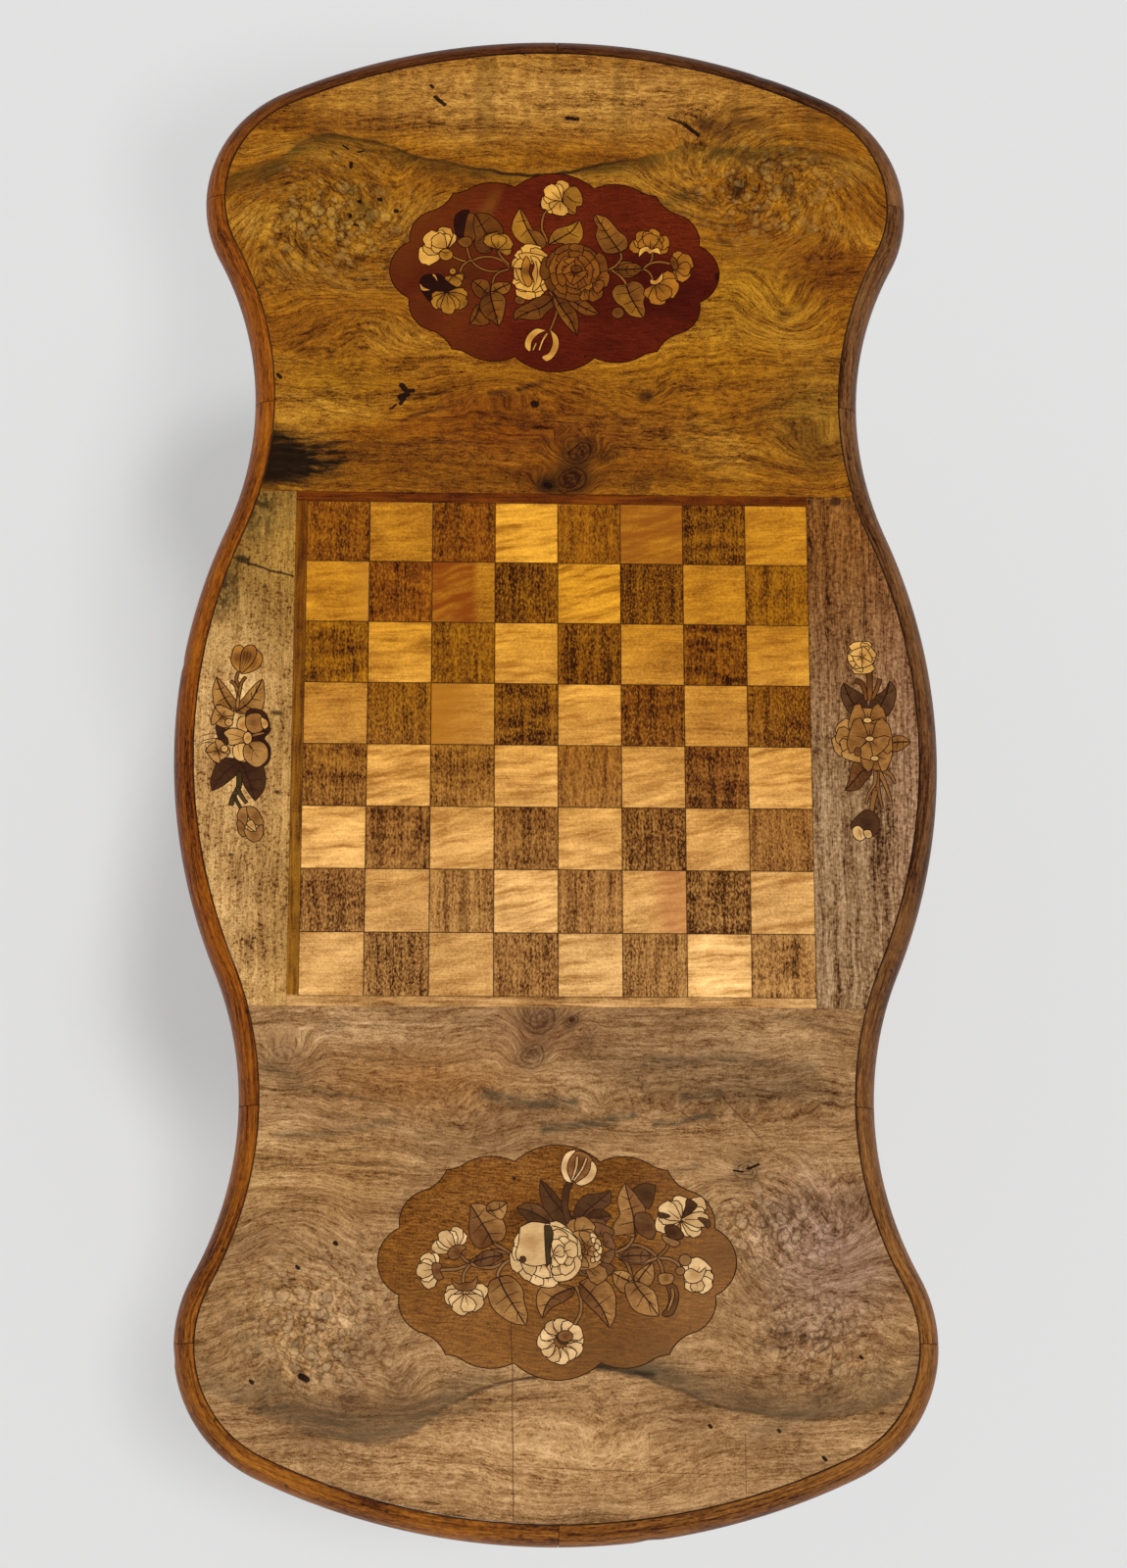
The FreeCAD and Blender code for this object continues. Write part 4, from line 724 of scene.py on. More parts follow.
def cartouche_wood(name, colours, dots, seed, grain):
    """A fine dark ground with short pores, and a knife line along its scalloped edge."""
    t = Tree(name, 3.4)
    place = t.place
    warped = t.drift(place, 60, 6, 2.0, seed)
    leaning = t.moved(warped, (0, 0, 0), 4)
    cloud = t.noise(warped, (90, 55), 3.0, 0.5, seed)
    fine = t.noise(leaning, (9, 1.2), 3.0, 0.6, seed + 2)
    dark, mid, pale = colours
    colour = t.ramp(cloud, (0.32, dark), (0.5, mid), (0.68, pale))
    colour = t.shaded(colour,
                      t.waves((fine, 0.42 * grain), (t.noise(place, 1.5, 1.0, 0.5, seed), 0.22 * grain)))
    pore = pores(t, leaning, 3.0, 0.8, 0.26, seed)
    colour = t.tint(colour, dark, pore, 0.65)
    for centre, size in dots:
        colour = t.tint(colour, "1c0704", t.blot(place, centre, (size, size), 0, 0.7), 0.9)
    return t, place, colour, fine


def cartouche_red():
    dots = (((-51, 402), 2.4), ((-12, 407), 2.6), ((118, 353), 5.5), ((62, 418), 1.6), ((92, 286), 1.8),
            ((-98, 300), 1.4), ((20, 290), 1.2), ((10, 450), 1.4))
    t, place, colour, fine = cartouche_wood("cartouche_red", ("470c00", "591601", "682001"), dots, 5.0, 1.1)
    patchy = t.between(t.noise(place, 40, 2.0), 0.3, 0.7, 0.3, 0.9)
    west = t.times(t.step(t.parts(place)[0], -20, -90), patchy)
    colour = t.tint(colour, "6f3a08", west, 0.55)
    flash = t.blot(t.drift(place, 25, 5, 2.0, 4.0), (-52, 402), (30, 9), 66, 1.0)
    colour = t.tint(colour, "8a5210", flash, 0.45)
    return t.finish(colour, (fine, 0.40, 0.52), fine, 0.02)


def cartouche_brown():
    dots = (((-30, -302), 1.8), ((88, -401), 1.6), ((60, -413), 1.4), ((70, -300), 1.2))
    t, place, colour, fine = cartouche_wood("cartouche_brown", ("5e350c", "7c4913", "8b5823"), dots, 9.0, 2.2)
    x, y, _ = t.parts(place)
    colour = t.tint(colour, "98693a", t.step(y, -330, -440), 0.35)
    colour = t.tint(colour, "8f643c", t.step(x, 30, 110), 0.4)
    crack = t.stroke(place, (-32, -395), (-31, -428), 0.9, 0.6)
    colour = t.tint(colour, "3f220c", crack, 0.7)
    return t.finish(colour, (fine, 0.42, 0.54), fine, 0.02)


def rim_walnut():
    """The rim's grain follows its length, by the mesh's own coordinates: along it, then round it."""
    t = Tree("rim_walnut")
    x, y, z = t.parts(t.place)
    warped = t.drift(t.run, 60, 3.0, 2.0, 6.0)
    streak = t.noise(warped, (120, 3.5), 4.0, 0.6, 6.0)
    fine = t.noise(warped, (14, 1.0), 3.0, 0.6, 8.0)
    cloud = t.noise(t.place, 70, 2.0, 0.5, 7.0)
    south = t.step(y, -150, -520)
    west = t.mix(south, "864402", "864c10")
    east = t.mix(south, "6c431f", "804e1c")
    colour = t.mix(t.step(x, -90, 130), west, east)
    # Painted shade: the rim is darkened towards the north end, where it lies in shadow.
    colour = t.tint(colour, "4c250b", t.step(y, 380, 520), 0.85)
    grit = t.noise(warped, (4.0, 1.2), 2.0, 0.7, 3.0)
    colour = t.shaded(colour, t.waves((streak, 1.3), (fine, 1.1), (grit, 0.9), (cloud, 0.7)))
    colour = t.tint(colour, "3a1706", t.step(streak, 0.42, 0.28, 0.0, 0.55))
    worn = t.times(t.step(z, 704, 712), t.step(z, 720, 714))
    worn = t.times(worn, t.step(cloud, 0.45, 0.7))
    colour = t.tint(colour, "8d5426", worn, 0.35)
    spots = t.step(t.cells(t.drift(t.place, 9, 2.0), 17), 0.13, 0.06)
    colour = t.tint(colour, "2a0e05", spots, 0.65)
    dirt = t.step(t.parts(t.run)[1], 1.6, 0.5)
    colour = t.tint(colour, "260f06", dirt, 0.85)
    return t.finish(colour, t.between(streak, 0.25, 0.75, 0.36, 0.54), t.waves((fine, 0.8), (streak, 0.4)),
                    0.09, Coat_Weight=0.08, Coat_Roughness=0.35)


# ---------------------------------------------------------------- materials of the rest
def straight_wood(name, turn_axis, colours, length=180.0, width=7.0, seed=1.0, gloss=(0.38, 0.52), coat=0.0,
                  spots=0.0):
    """Straight-grained wood whose grain runs along one axis."""
    t = Tree(name)
    x, y, z = t.parts(t.place)
    runs = {"x": (x, y, z), "y": (y, x, z), "z": (z, x, y)}[turn_axis]
    warped = t.drift(t.joined(*runs), 110, 5, 2.0, seed)
    a, b, c = t.parts(warped)
    squeezed = t.joined(t.over(a, length), t.over(b, width), t.over(c, width))
    streak = t.noise(squeezed, 1.0, 4.0, 0.6, seed)
    thin = t.joined(t.over(a, 12.0), t.over(b, 1.0), t.over(c, 1.0))
    fine = t.noise(thin, 1.0, 2.0, 0.6, seed + 3)
    dark, mid, pale = colours
    colour = t.ramp(streak, (0.3, dark), (0.5, mid), (0.7, pale))
    colour = t.shaded(colour, t.waves((fine, 0.45), (t.noise(t.place, 120, 2.0, 0.5, seed), 0.4)))
    if spots:
        old = t.step(t.noise(t.place, 13, 3.0, 0.6, seed + 5), 0.62, 0.72)
        colour = t.tint(colour, dark, old, spots)
    return t.finish(colour, (fine, *gloss), t.waves((fine, 0.5), (streak, 0.5)), 0.05,
                    Coat_Weight=coat, Coat_Roughness=0.25)


def leg_walnut():
    """Walnut whose grain follows a leg, by the mesh's own coordinates."""
    t = Tree("leg_walnut")
    warped = t.drift(t.run, 70, 5.0, 2.0, 16.0)
    streak = t.noise(warped, (110, 5.0), 4.0, 0.6, 2.0)
    fine = t.noise(warped, (14, 1.0), 3.0, 0.6, 9.0)
    colour = t.ramp(streak, (0.3, "3a1a0a"), (0.5, "5c3015"), (0.7, "7a4522"))
    colour = t.shaded(colour, t.waves((fine, 0.5), (t.noise(t.place, 60, 2.0, 0.5, 4.0), 0.5)))
    scuffed = t.times(t.step(t.parts(t.place)[2], 60, 8), t.step(t.noise(t.place, 9, 3.0, 0.6), 0.48, 0.66))
    colour = t.tint(colour, "95643c", scuffed, 0.6)
    return t.finish(colour, t.between(streak, 0.25, 0.75, 0.3, 0.48), t.waves((fine, 0.6), (streak, 0.3)),
                    0.05, Coat_Weight=0.35, Coat_Roughness=0.25)


def metal(name, dark, bright, shine, seed):
    t = Tree(name)
    cloud = t.noise(t.place, 7, 4.0, 0.6, seed)
    brushed = t.noise(t.place, (12, 0.6), 2.0, 0.6, seed + 2)
    tarnish = t.step(cloud, 0.36, 0.66)
    colour = t.mix(tarnish, dark, bright)
    colour = t.shaded(colour, t.waves((brushed, 0.3)))
    return t.finish(colour, t.between(cloud, 0.3, 0.7, *shine), t.waves((cloud, 0.6), (brushed, 0.4)), 0.04,
                    Metallic=t.between(cloud, 0.2, 0.5, 0.75, 1.0))


# ---------------------------------------------------------------- the stage
PALE = "e2e2e2"


def add_floor():
    """A pale floor that takes a soft shadow. What the camera sees of it is partly its own light."""
    t = Tree("floor")
    diffuse = t.add("ShaderNodeBsdfDiffuse", {"Color": rgb(PALE)}).outputs[0]
    glow = t.add("ShaderNodeEmission", {"Color": rgb(PALE), "Strength": 1.0}).outputs[0]
    share = t.times(t.add("ShaderNodeLightPath").outputs["Is Camera Ray"], 0.45)
    t.output("ShaderNodeOutputMaterial", t.either(share, diffuse, glow))
    mesh = bpy.data.meshes.new("floor")
    far = 14.0
    mesh.from_pydata([(-far, -far, 0), (far, -far, 0), (far, far, 0), (-far, far, 0)], [], [(0, 1, 2, 3)])
    floor = bpy.data.objects.new("floor", mesh)
    mesh.materials.append(t.material)
    bpy.context.scene.collection.objects.link(floor)


def add_world():
    """An even pale surround: what the camera sees of it matches the floor. Gloss sees a dim room, brighter
    overhead and to the south than high in the north."""
    t = Tree("studio", family=bpy.data.worlds)
    seen = t.add("ShaderNodeBackground", {"Color": rgb(PALE)}).outputs[0]
    lit = t.add("ShaderNodeBackground", {"Color": rgb("ffffff"), "Strength": 0.46}).outputs[0]
    north = t.parts(t.add("ShaderNodeTexCoord").outputs["Generated"])[1]
    shine = t.add("ShaderNodeBackground", {"Strength": t.step(north, 0.0, 0.4, 0.30, 0.06)}).outputs[0]
    rays = t.add("ShaderNodeLightPath").outputs
    unseen = t.either(rays["Is Glossy Ray"], lit, shine)
    t.output("ShaderNodeOutputWorld", t.either(rays["Is Camera Ray"], unseen, seen))
    bpy.context.scene.world = t.material


def add_sun(name, towards, strength, angle):
    """A lamp far off in this direction, seen this many degrees wide."""
    lamp = bpy.data.lights.new(name, "SUN")
    lamp.energy = strength
    lamp.angle = math.radians(angle)
    lamp.color = (1.0, 1.0, 1.0)
    sun = bpy.data.objects.new(name, lamp)
    sun.rotation_euler = Vector(towards).to_track_quat("Z", "Y").to_euler()
    sun.visible_glossy = False
    bpy.context.scene.collection.objects.link(sun)


SENSOR = 36.0
FOCAL_PIXELS = 3050.0
PHOTO_HEIGHT = 1600.0


def add_camera():
    """The photograph's viewpoint: 2.7 m up, 14 degrees off square to the top."""
    right = (0.99921394, -0.00144971, 0.03961566)
    down = (0.0078902, -0.97206374, -0.23458437)
    forward = (0.03884902, 0.23471254, -0.9712882)
    place = (-0.0771, -0.5166, 2.7467)
    matrix = Matrix([(r, -d, -f, p) for r, d, f, p in zip(right, down, forward, place)] + [(0, 0, 0, 1)])
    data = bpy.data.cameras.new("camera")
    data.sensor_width = SENSOR
    data.lens = FOCAL_PIXELS / PHOTO_HEIGHT * SENSOR
    camera = bpy.data.objects.new("camera", data)
    camera.matrix_world = matrix
    bpy.context.scene.collection.objects.link(camera)
    bpy.context.scene.camera = camera


# ---------------------------------------------------------------- mesh helpers
def new_object(name, mesh, material, sharp=None):
    """A piece in the scene, smooth but for edges that turn by more than so many degrees, or flat."""
    for polygon in mesh.polygons:
        polygon.use_smooth = sharp is not None
    if sharp is not None:
        mesh.set_sharp_from_angle(angle=math.radians(sharp))
    mesh.materials.append(material)
    piece = bpy.data.objects.new(name, mesh)
    bpy.context.scene.collection.objects.link(piece)
    return piece


def keep(piece, body, slot, *nodes):
    """Makes a finished piece ride on its body and stand for these nodes, which it hides. The slot is not
    used.
    """
    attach(piece, body)
    if nodes:
        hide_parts(*nodes)


def mesh_of(name, points, faces):
    """A mesh from points in millimetres, with its faces turned outward."""
    mesh = bpy.data.meshes.new(name)
    mesh.from_pydata([(x * MM, y * MM, z * MM) for x, y, z in points], [], faces)
    shell = bmesh.new()
    shell.from_mesh(mesh)
    bmesh.ops.recalc_face_normals(shell, faces=shell.faces)
    shell.to_mesh(mesh)
    shell.free()
    return mesh


def loop_faces(start, next_start, count):
    """Quads between two closed rings of points."""
    return [(start + k, start + (k + 1) % count, next_start + (k + 1) % count, next_start + k)
            for k in range(count)]


def tube(rings):
    """The points and faces of a solid through closed rings of as many points, capped at both ends."""
    count = len(rings[0])
    points = [point for ring in rings for point in ring]
    faces = [face for k in range(len(rings) - 1) for face in loop_faces(k * count, (k + 1) * count, count)]
    return points, faces + [tuple(range(count)), tuple(range(len(points) - count, len(points)))]


def set_run(mesh, spots):
    """Gives each vertex its place along and round the piece, for the grain to follow."""
    layer = mesh.uv_layers.new(name="run")
    for loop in mesh.loops:
        layer.data[loop.index].uv = spots[loop.vertex_index]


# ---------------------------------------------------------------- the rim
def outline():
    """The quadrant's arcs, from the belly's middle round to the end's middle, as (centre, radius,
    inside, start, end). inside is +1 where the top lies on the centre's side."""
    half = TOP_WIDTH / 2
    belly = Vector((half - BELLY_RADIUS, 0))
    shoulder = Vector((half - SHOULDER_INSET - SHOULDER_RADIUS, TOP_LENGTH / 2 - SHOULDER_SETBACK))
    waist_half = half - WAIST_INSET
    to_belly = waist_half - belly.x
    to_shoulder = waist_half - shoulder.x
    ratio = (SHOULDER_RADIUS - to_shoulder) / (BELLY_RADIUS - to_belly)
    belly_term = BELLY_RADIUS ** 2 - to_belly ** 2
    b = -2 * shoulder.y
    c = shoulder.y ** 2 - SHOULDER_RADIUS ** 2 + to_shoulder ** 2 + ratio * belly_term
    waist_y = (-b - math.sqrt(b * b - 4 * (1 - ratio) * c)) / (2 * (1 - ratio))
    waist_radius = (waist_y ** 2 - belly_term) / (2 * (BELLY_RADIUS - to_belly))
    waist = Vector((waist_half + waist_radius, waist_y))
    end_radius = ((SHOULDER_RADIUS ** 2 - SHOULDER_SETBACK ** 2 - shoulder.x ** 2)
                  / (2 * (SHOULDER_RADIUS - SHOULDER_SETBACK)))
    end = Vector((0, TOP_LENGTH / 2 - end_radius))

    def angle(centre, other, reverse=1):
        way = (other - centre) * reverse
        return math.atan2(way.y, way.x)

    belly_end = angle(belly, waist)
    waist_end = angle(waist, shoulder) % (2 * math.pi)
    shoulder_start = angle(shoulder, waist)
    shoulder_end = angle(end, shoulder)
    return {"belly": (belly, BELLY_RADIUS, 1, 0.0, belly_end),
            "waist_low": (waist, waist_radius, -1, belly_end + math.pi, math.pi),
            "waist_high": (waist, waist_radius, -1, math.pi, waist_end),
            "shoulder_side": (shoulder, SHOULDER_RADIUS, 1, shoulder_start, 0.0),
            "shoulder_end": (shoulder, SHOULDER_RADIUS, 1, 0.0, shoulder_end),
            "end": (end, end_radius, 1, shoulder_end, math.pi / 2)}


def arc_points(a, middle, b, count):
    """Points of the circle's arc through three (x, y) points, a and b included."""
    (ax, ay), (bx, by), (cx, cy) = a, middle, b
    d = 2 * (ax * (by - cy) + bx * (cy - ay) + cx * (ay - by))
    ux = ((ax ** 2 + ay ** 2) * (by - cy) + (bx ** 2 + by ** 2) * (cy - ay) + (cx ** 2 + cy ** 2)
          * (ay - by)) / d
    uy = ((ax ** 2 + ay ** 2) * (cx - bx) + (bx ** 2 + by ** 2) * (ax - cx) + (cx ** 2 + cy ** 2)
          * (bx - ax)) / d
    radius = math.hypot(ax - ux, ay - uy)
    start = math.atan2(ay - uy, ax - ux)
    via = (math.atan2(by - uy, bx - ux) - start) % (2 * math.pi)
    sweep = (math.atan2(cy - uy, cx - ux) - start) % (2 * math.pi)
    if via > sweep:
        sweep -= 2 * math.pi
    return [(ux + radius * math.cos(start + sweep * k / count),
             uy + radius * math.sin(start + sweep * k / count)) for k in range(count + 1)]


def rim_profile():
    """The moulding's section as (inward, drop) points, from the lip round the nose to the underside."""
    rise_width = RIM_WIDTH - RIM_FLAT
    radius = (rise_width ** 2 + RIM_NOSE ** 2) / (2 * rise_width)
    half = math.asin(RIM_NOSE / radius) / 2
    middle = (radius * (1 - math.cos(half)), RIM_NOSE - radius * math.sin(half))
    thumb = arc_points((rise_width, 0.0), middle, (0.0, RIM_NOSE), 9)
    under = RIM_DEPTH - RIM_NOSE
    below = arc_points((0.0, RIM_NOSE), (under * 0.22, RIM_DEPTH - under * 0.36), (under, RIM_DEPTH), 5)[1:]
    return [(RIM_WIDTH - 0.1, 0.45), (RIM_WIDTH - 0.6, 0.0)] + thumb + below + [(RIM_WIDTH - 0.1, RIM_DEPTH)]


def rim_stations(arcs, names, spacing=5.0):
    """(point, inward direction) along a run of the quadrant's arcs."""
    stations = []
    for name in names:
        centre, radius, inside, start, end = arcs[name]
        count = max(2, round(abs(end - start) * radius / spacing))
        for k in range(count + 1):
            if stations and k == 0:
                continue
            angle = start + (end - start) * k / count
            way = Vector((math.cos(angle), math.sin(angle)))
            stations.append((centre + way * radius, -way * inside))
    return stations


# The nicks in the rim's nose, as (x, y, reach, depth).
NICKS = ((-216, 300, 7, 1.4), (-206, -235, 6, 1.0), (219, 330, 6, 1.0), (-262, 60, 6, 0.8),
         (262, -120, 7, 0.8), (150, 512, 9, 0.9), (-254, -420, 7, 0.9), (60, -541, 9, 0.8))
RIM_JOINT = 0.25


def dent(x, y):
    """How far the nose is knocked in at this place."""
    return sum(depth * max(0.0, 1 - ((x - at_x) ** 2 + (y - at_y) ** 2) / reach ** 2) ** 2
               for at_x, at_y, reach, depth in NICKS)


def lengths(points):
    """How far along the line each of its points lies."""
    run = [0.0]
    for a, b in zip(points, points[1:]):
        run.append(run[-1] + math.hypot(b[0] - a[0], b[1] - a[1]))
    return run


def add_rim_piece(name, stations, signs, material, node):
    """One length of rim, closed at both ends, with its coordinates along and round it. The signs turn it
    from the north-east quarter into another."""
    section = rim_profile()
    rings = []
    for point, inward in stations:
        ring = []
        for reach, drop in section:
            place = point + inward * reach
            knocked = dent(place.x * signs[0], place.y * signs[1]) * max(0.0, 1 - reach / RIM_WIDTH)
            place = point + inward * (reach + knocked)
            ring.append((place.x * signs[0], place.y * signs[1], TABLE_HEIGHT - drop))
        rings.append(ring)
    mesh = mesh_of(name, *tube(rings))
    # Each length is cut from its own place in the plank.
    offset = 900.0 * (signs[0] + 2 * signs[1]) + 37.0 * len(stations)
    set_run(mesh, [((along + offset) * MM, across * MM)
                   for along in lengths([point for point, _ in stations]) for across in lengths(section)])
    keep(new_object(name, mesh, material, sharp=40), "top", "rim_walnut", node)


def trimmed(stations):
    """The run cut short by a hair at both ends, so that the joint shows."""
    cut = list(stations)
    for end, beside in ((0, 1), (-1, -2)):
        way = (cut[beside][0] - cut[end][0]).normalized()
        cut[end] = (cut[end][0] + way * RIM_JOINT, cut[end][1])
    return cut


def add_rim(material):
    """Ten lengths: two round each end, and a belly and two shoulders along each side."""
    arcs = outline()
    end = trimmed(rim_stations(arcs, ["shoulder_end", "end"]))
    shoulder = trimmed(rim_stations(arcs, ["waist_high", "shoulder_side"]))
    half_belly = rim_stations(arcs, ["belly", "waist_low"])
    lower = [(Vector((p.x, -p.y)), Vector((n.x, -n.y))) for p, n in reversed(half_belly[1:])]
    belly = trimmed(lower + half_belly)
    sides = (("east", 1), ("west", -1))
    for end_name, way in (("north", 1), ("south", -1)):
        for side_name, side in sides:
            add_rim_piece("rim_end_" + end_name + "_" + side_name, end, (side, way), material,
                          "rim_" + end_name)
    for side_name, side in sides:
        node = "rim_" + side_name
        for run_name, run, way in (("belly", belly, 1), ("shoulder_n", shoulder, 1),
                                   ("shoulder_s", shoulder, -1)):
            add_rim_piece(node + "_" + run_name, run, (side, way), material, node)


# ---------------------------------------------------------------- the column
def column_profile():
    """Half the column's view as (radius, z) points, with its round stretches drawn finely."""
    shaft = BLOCK_BOTTOM - HUB_TOP
    cap_bottom = BLOCK_BOTTOM - CAP_HEIGHT
    ring_one = HUB_TOP + RING_HEIGHT
    ring_two = HUB_TOP + shaft * 0.80
    neck_low = NECK_RADIUS + 4
    r = DROP_RADIUS
    foot = HUB_BOTTOM - DROP_LENGTH
    points = [(r * 0.16, foot)]

    def to(radius, z):
        points.append((radius, z))

    def curve(middle, end, count):
        points.extend(arc_points(points[-1], middle, end, count)[1:])

    def bead(height):
        radius, bottom = points[-1]
        curve((radius + height * 0.42, bottom + height / 2), (radius, bottom + height), 10)

    curve((r * 0.31, foot + DROP_LENGTH * 0.07), (r * 0.38, foot + DROP_LENGTH * 0.22), 4)
    curve((r * 0.74, foot + DROP_LENGTH * 0.48), (r * 0.52, foot + DROP_LENGTH * 0.68), 12)
    curve((r * 0.62, foot + DROP_LENGTH * 0.80), (r * 0.90, foot + DROP_LENGTH * 0.88), 8)
    to(r * 0.99, foot + DROP_LENGTH * 0.91)
    to(r, HUB_BOTTOM - 3)
    to(r, HUB_BOTTOM)
    to(HUB_RADIUS - 1, HUB_BOTTOM)
    to(HUB_RADIUS, HUB_BOTTOM + 1)
    to(HUB_RADIUS, HUB_TOP - 5)
    to(HUB_RADIUS - 5, HUB_TOP)
    to(HUB_RADIUS - 11, HUB_TOP)
    bead(RING_HEIGHT)
    curve((neck_low + 2, ring_one + 7), (neck_low, ring_one + 20), 8)
    curve((BALUSTER_RADIUS, HUB_TOP + shaft * 0.29), (BALUSTER_RADIUS * 0.83, HUB_TOP + shaft * 0.45), 26)
    curve((NECK_RADIUS + 3.5, HUB_TOP + shaft * 0.62), (NECK_RADIUS, ring_two - 12), 16)
    to(NECK_RADIUS + 5, ring_two - 12)
    to(NECK_RADIUS + 5, ring_two - 8)
    bead(12)
    to(NECK_RADIUS + 1, ring_two + 4)
    curve((NECK_RADIUS + 5, (ring_two + cap_bottom) / 2 + 6), (CAP_RADIUS - 6, cap_bottom), 14)
    to(CAP_RADIUS - 3, cap_bottom)
    curve((CAP_RADIUS, cap_bottom + CAP_HEIGHT / 2), (CAP_RADIUS - 3, BLOCK_BOTTOM), 8)
    return points


def rounded_octagon(radius, z):
    """A ring with eight flats, one towards +X, and slightly rubbed arrises. The radius is to a flat."""
    ring = []
    for side in range(8):
        for offset in (-22.5, -20.6, -14.0, -5.0, 5.0, 14.0, 20.6):
            reach = radius / math.cos(math.radians(offset))
            if offset == -22.5:
                reach = radius / math.cos(math.radians(20.6)) + radius * 0.006
            angle = math.radians(side * 45 + offset)
            ring.append((reach * math.cos(angle), reach * math.sin(angle), z))
    return ring


def half_round(radius, gap, low, high, side, offset=(0.0, 0.0), turn=0.0, count=24):
    """The points and faces of half a disc, cut flat at half the gap from the middle."""
    half_gap = gap / 2
    start = math.asin(half_gap / radius)
    corners = []
    for k in range(count + 1):
        angle = start + (math.pi - 2 * start) * k / count
        corners.append((side * radius * math.sin(angle), radius * math.cos(angle)))
    spin = math.radians(turn)
    return tube([[(offset[0] + x * math.cos(spin) - y * math.sin(spin), offset[1] + x * math.sin(spin) + y
                   * math.cos(spin), z) for x, y in corners] for z in (low, high)])


def merged(*shells):
    """Shells, each its points and faces, as one."""
    points, faces = [], []
    for more_points, more_faces in shells:
        base = len(points)
        points += more_points
        faces += [tuple(base + k for k in face) for face in more_faces]
    return points, faces


def add_column(material):
    shaft = tube([rounded_octagon(radius, z) for radius, z in column_profile()])
    tenon = [half_round(TENON_RADIUS, WEDGE_THICK + 0.1, BLOCK_BOTTOM, TENON_TOP, side) for side in (1, -1)]
    mesh = mesh_of("column_turned", *merged(shaft, *tenon))
    keep(new_object("column_turned", mesh, material, sharp=16), "pedestal", "base_walnut", "column")


# ---------------------------------------------------------------- the legs
def meeting(a, from_a, b, from_b):
    """The place at these distances from a and from b, on the left of the way from a to b."""
    span = (b - a).length
    along = (from_a ** 2 - from_b ** 2 + span ** 2) / (2 * span)
    aside = math.sqrt(from_a ** 2 - along ** 2)
    way = (b - a).normalized()
    return a + way * along + Vector((-way.y, way.x)) * aside


def round_about(centre, start, end, count):
    """Points of the shorter arc about a centre from start to end, both included."""
    first, last = start - centre, end - centre
    turn = first.angle_signed(last) * -1
    radius = first.length
    angle = math.atan2(first.y, first.x)
    return [centre + Vector((math.cos(angle + turn * k / count), math.sin(angle + turn * k / count))) * radius
            for k in range(count + 1)]


def leg_edges():
    """The leg's upper and lower edges in its own plane, as (out, up) points in matching pairs."""
    top_z = HUB_TOP - LEG_SHOULDER_DROP
    toe = Vector((LEG_REACH, math.sqrt(TOE_RADIUS ** 2 - (FOOT_PAD / 2) ** 2)))
    tip = toe + Vector((TOE_RADIUS, 0))
    pad_in = Vector((LEG_REACH - FOOT_PAD / 2, 0))
    pad_out = Vector((LEG_REACH + FOOT_PAD / 2, 0))
    knee_start = Vector((HUB_RADIUS + KNEE_START, top_z))
    knee = knee_start - Vector((0, KNEE_RADIUS))
    ankle = meeting(knee, KNEE_RADIUS + ANKLE_RADIUS, toe, TOE_RADIUS + ANKLE_RADIUS)
    knee_end = knee + (ankle - knee).normalized() * KNEE_RADIUS
    toe_start = toe + (ankle - toe).normalized() * TOE_RADIUS
    under = ANKLE_RADIUS + ANKLE_DEPTH
    heel = meeting(toe, TOE_RADIUS, ankle, under)
    flat_end = Vector((HUB_RADIUS + LEG_FLAT, HUB_BOTTOM))
    out, up = ankle.x - flat_end.x, ankle.y - HUB_BOTTOM
    arch_radius = (out ** 2 + up ** 2 - under ** 2) / (2 * (under - up))
    arch = flat_end - Vector((0, arch_radius))
    arch_end = arch + (ankle - arch).normalized() * arch_radius
    corner_top = Vector((HUB_RADIUS, top_z))
    corner_bottom = Vector((HUB_RADIUS, HUB_BOTTOM))
    straight = [corner_top.lerp(knee_start, k / 6) for k in range(6)]
    upper = straight + round_about(knee, knee_start, knee_end, 26)
    lower_flat = [corner_bottom.lerp(flat_end, k / 10) for k in range(10)]
    lower = lower_flat + round_about(arch, flat_end, arch_end, 22)
    upper += round_about(ankle, knee_end, toe_start, 34)[1:]
    lower += round_about(ankle, arch_end, heel, 34)[1:]
    upper += round_about(toe, toe_start, tip, 24)[1:]
    lower += (round_about(toe, heel, pad_in, 10) + [pad_in.lerp(pad_out, k / 4) for k in range(1, 4)]
              + round_about(toe, pad_out, tip, 10))[1:]
    return upper, lower


def leg_half_thickness(out):
    """Half the leg's thickness seen from above, at this distance from the column's axis."""
    knee = HUB_RADIUS + KNEE_START
    end = LEG_REACH + TOE_RADIUS
    if out <= knee:
        share = (out - HUB_RADIUS) / (knee - HUB_RADIUS)
        return (LEG_THICK_HUB + (LEG_THICK_KNEE - LEG_THICK_HUB) * share) / 2
    share = (out - knee) / (end - knee)
    at_knee, at_toe = LEG_THICK_KNEE / 2, LEG_THICK_TOE / 2
    bend = LEG_THICK_ANKLE - (at_knee + at_toe) / 2
    return at_knee * (1 - share) ** 2 + 2 * bend * share * (1 - share) + at_toe * share ** 2


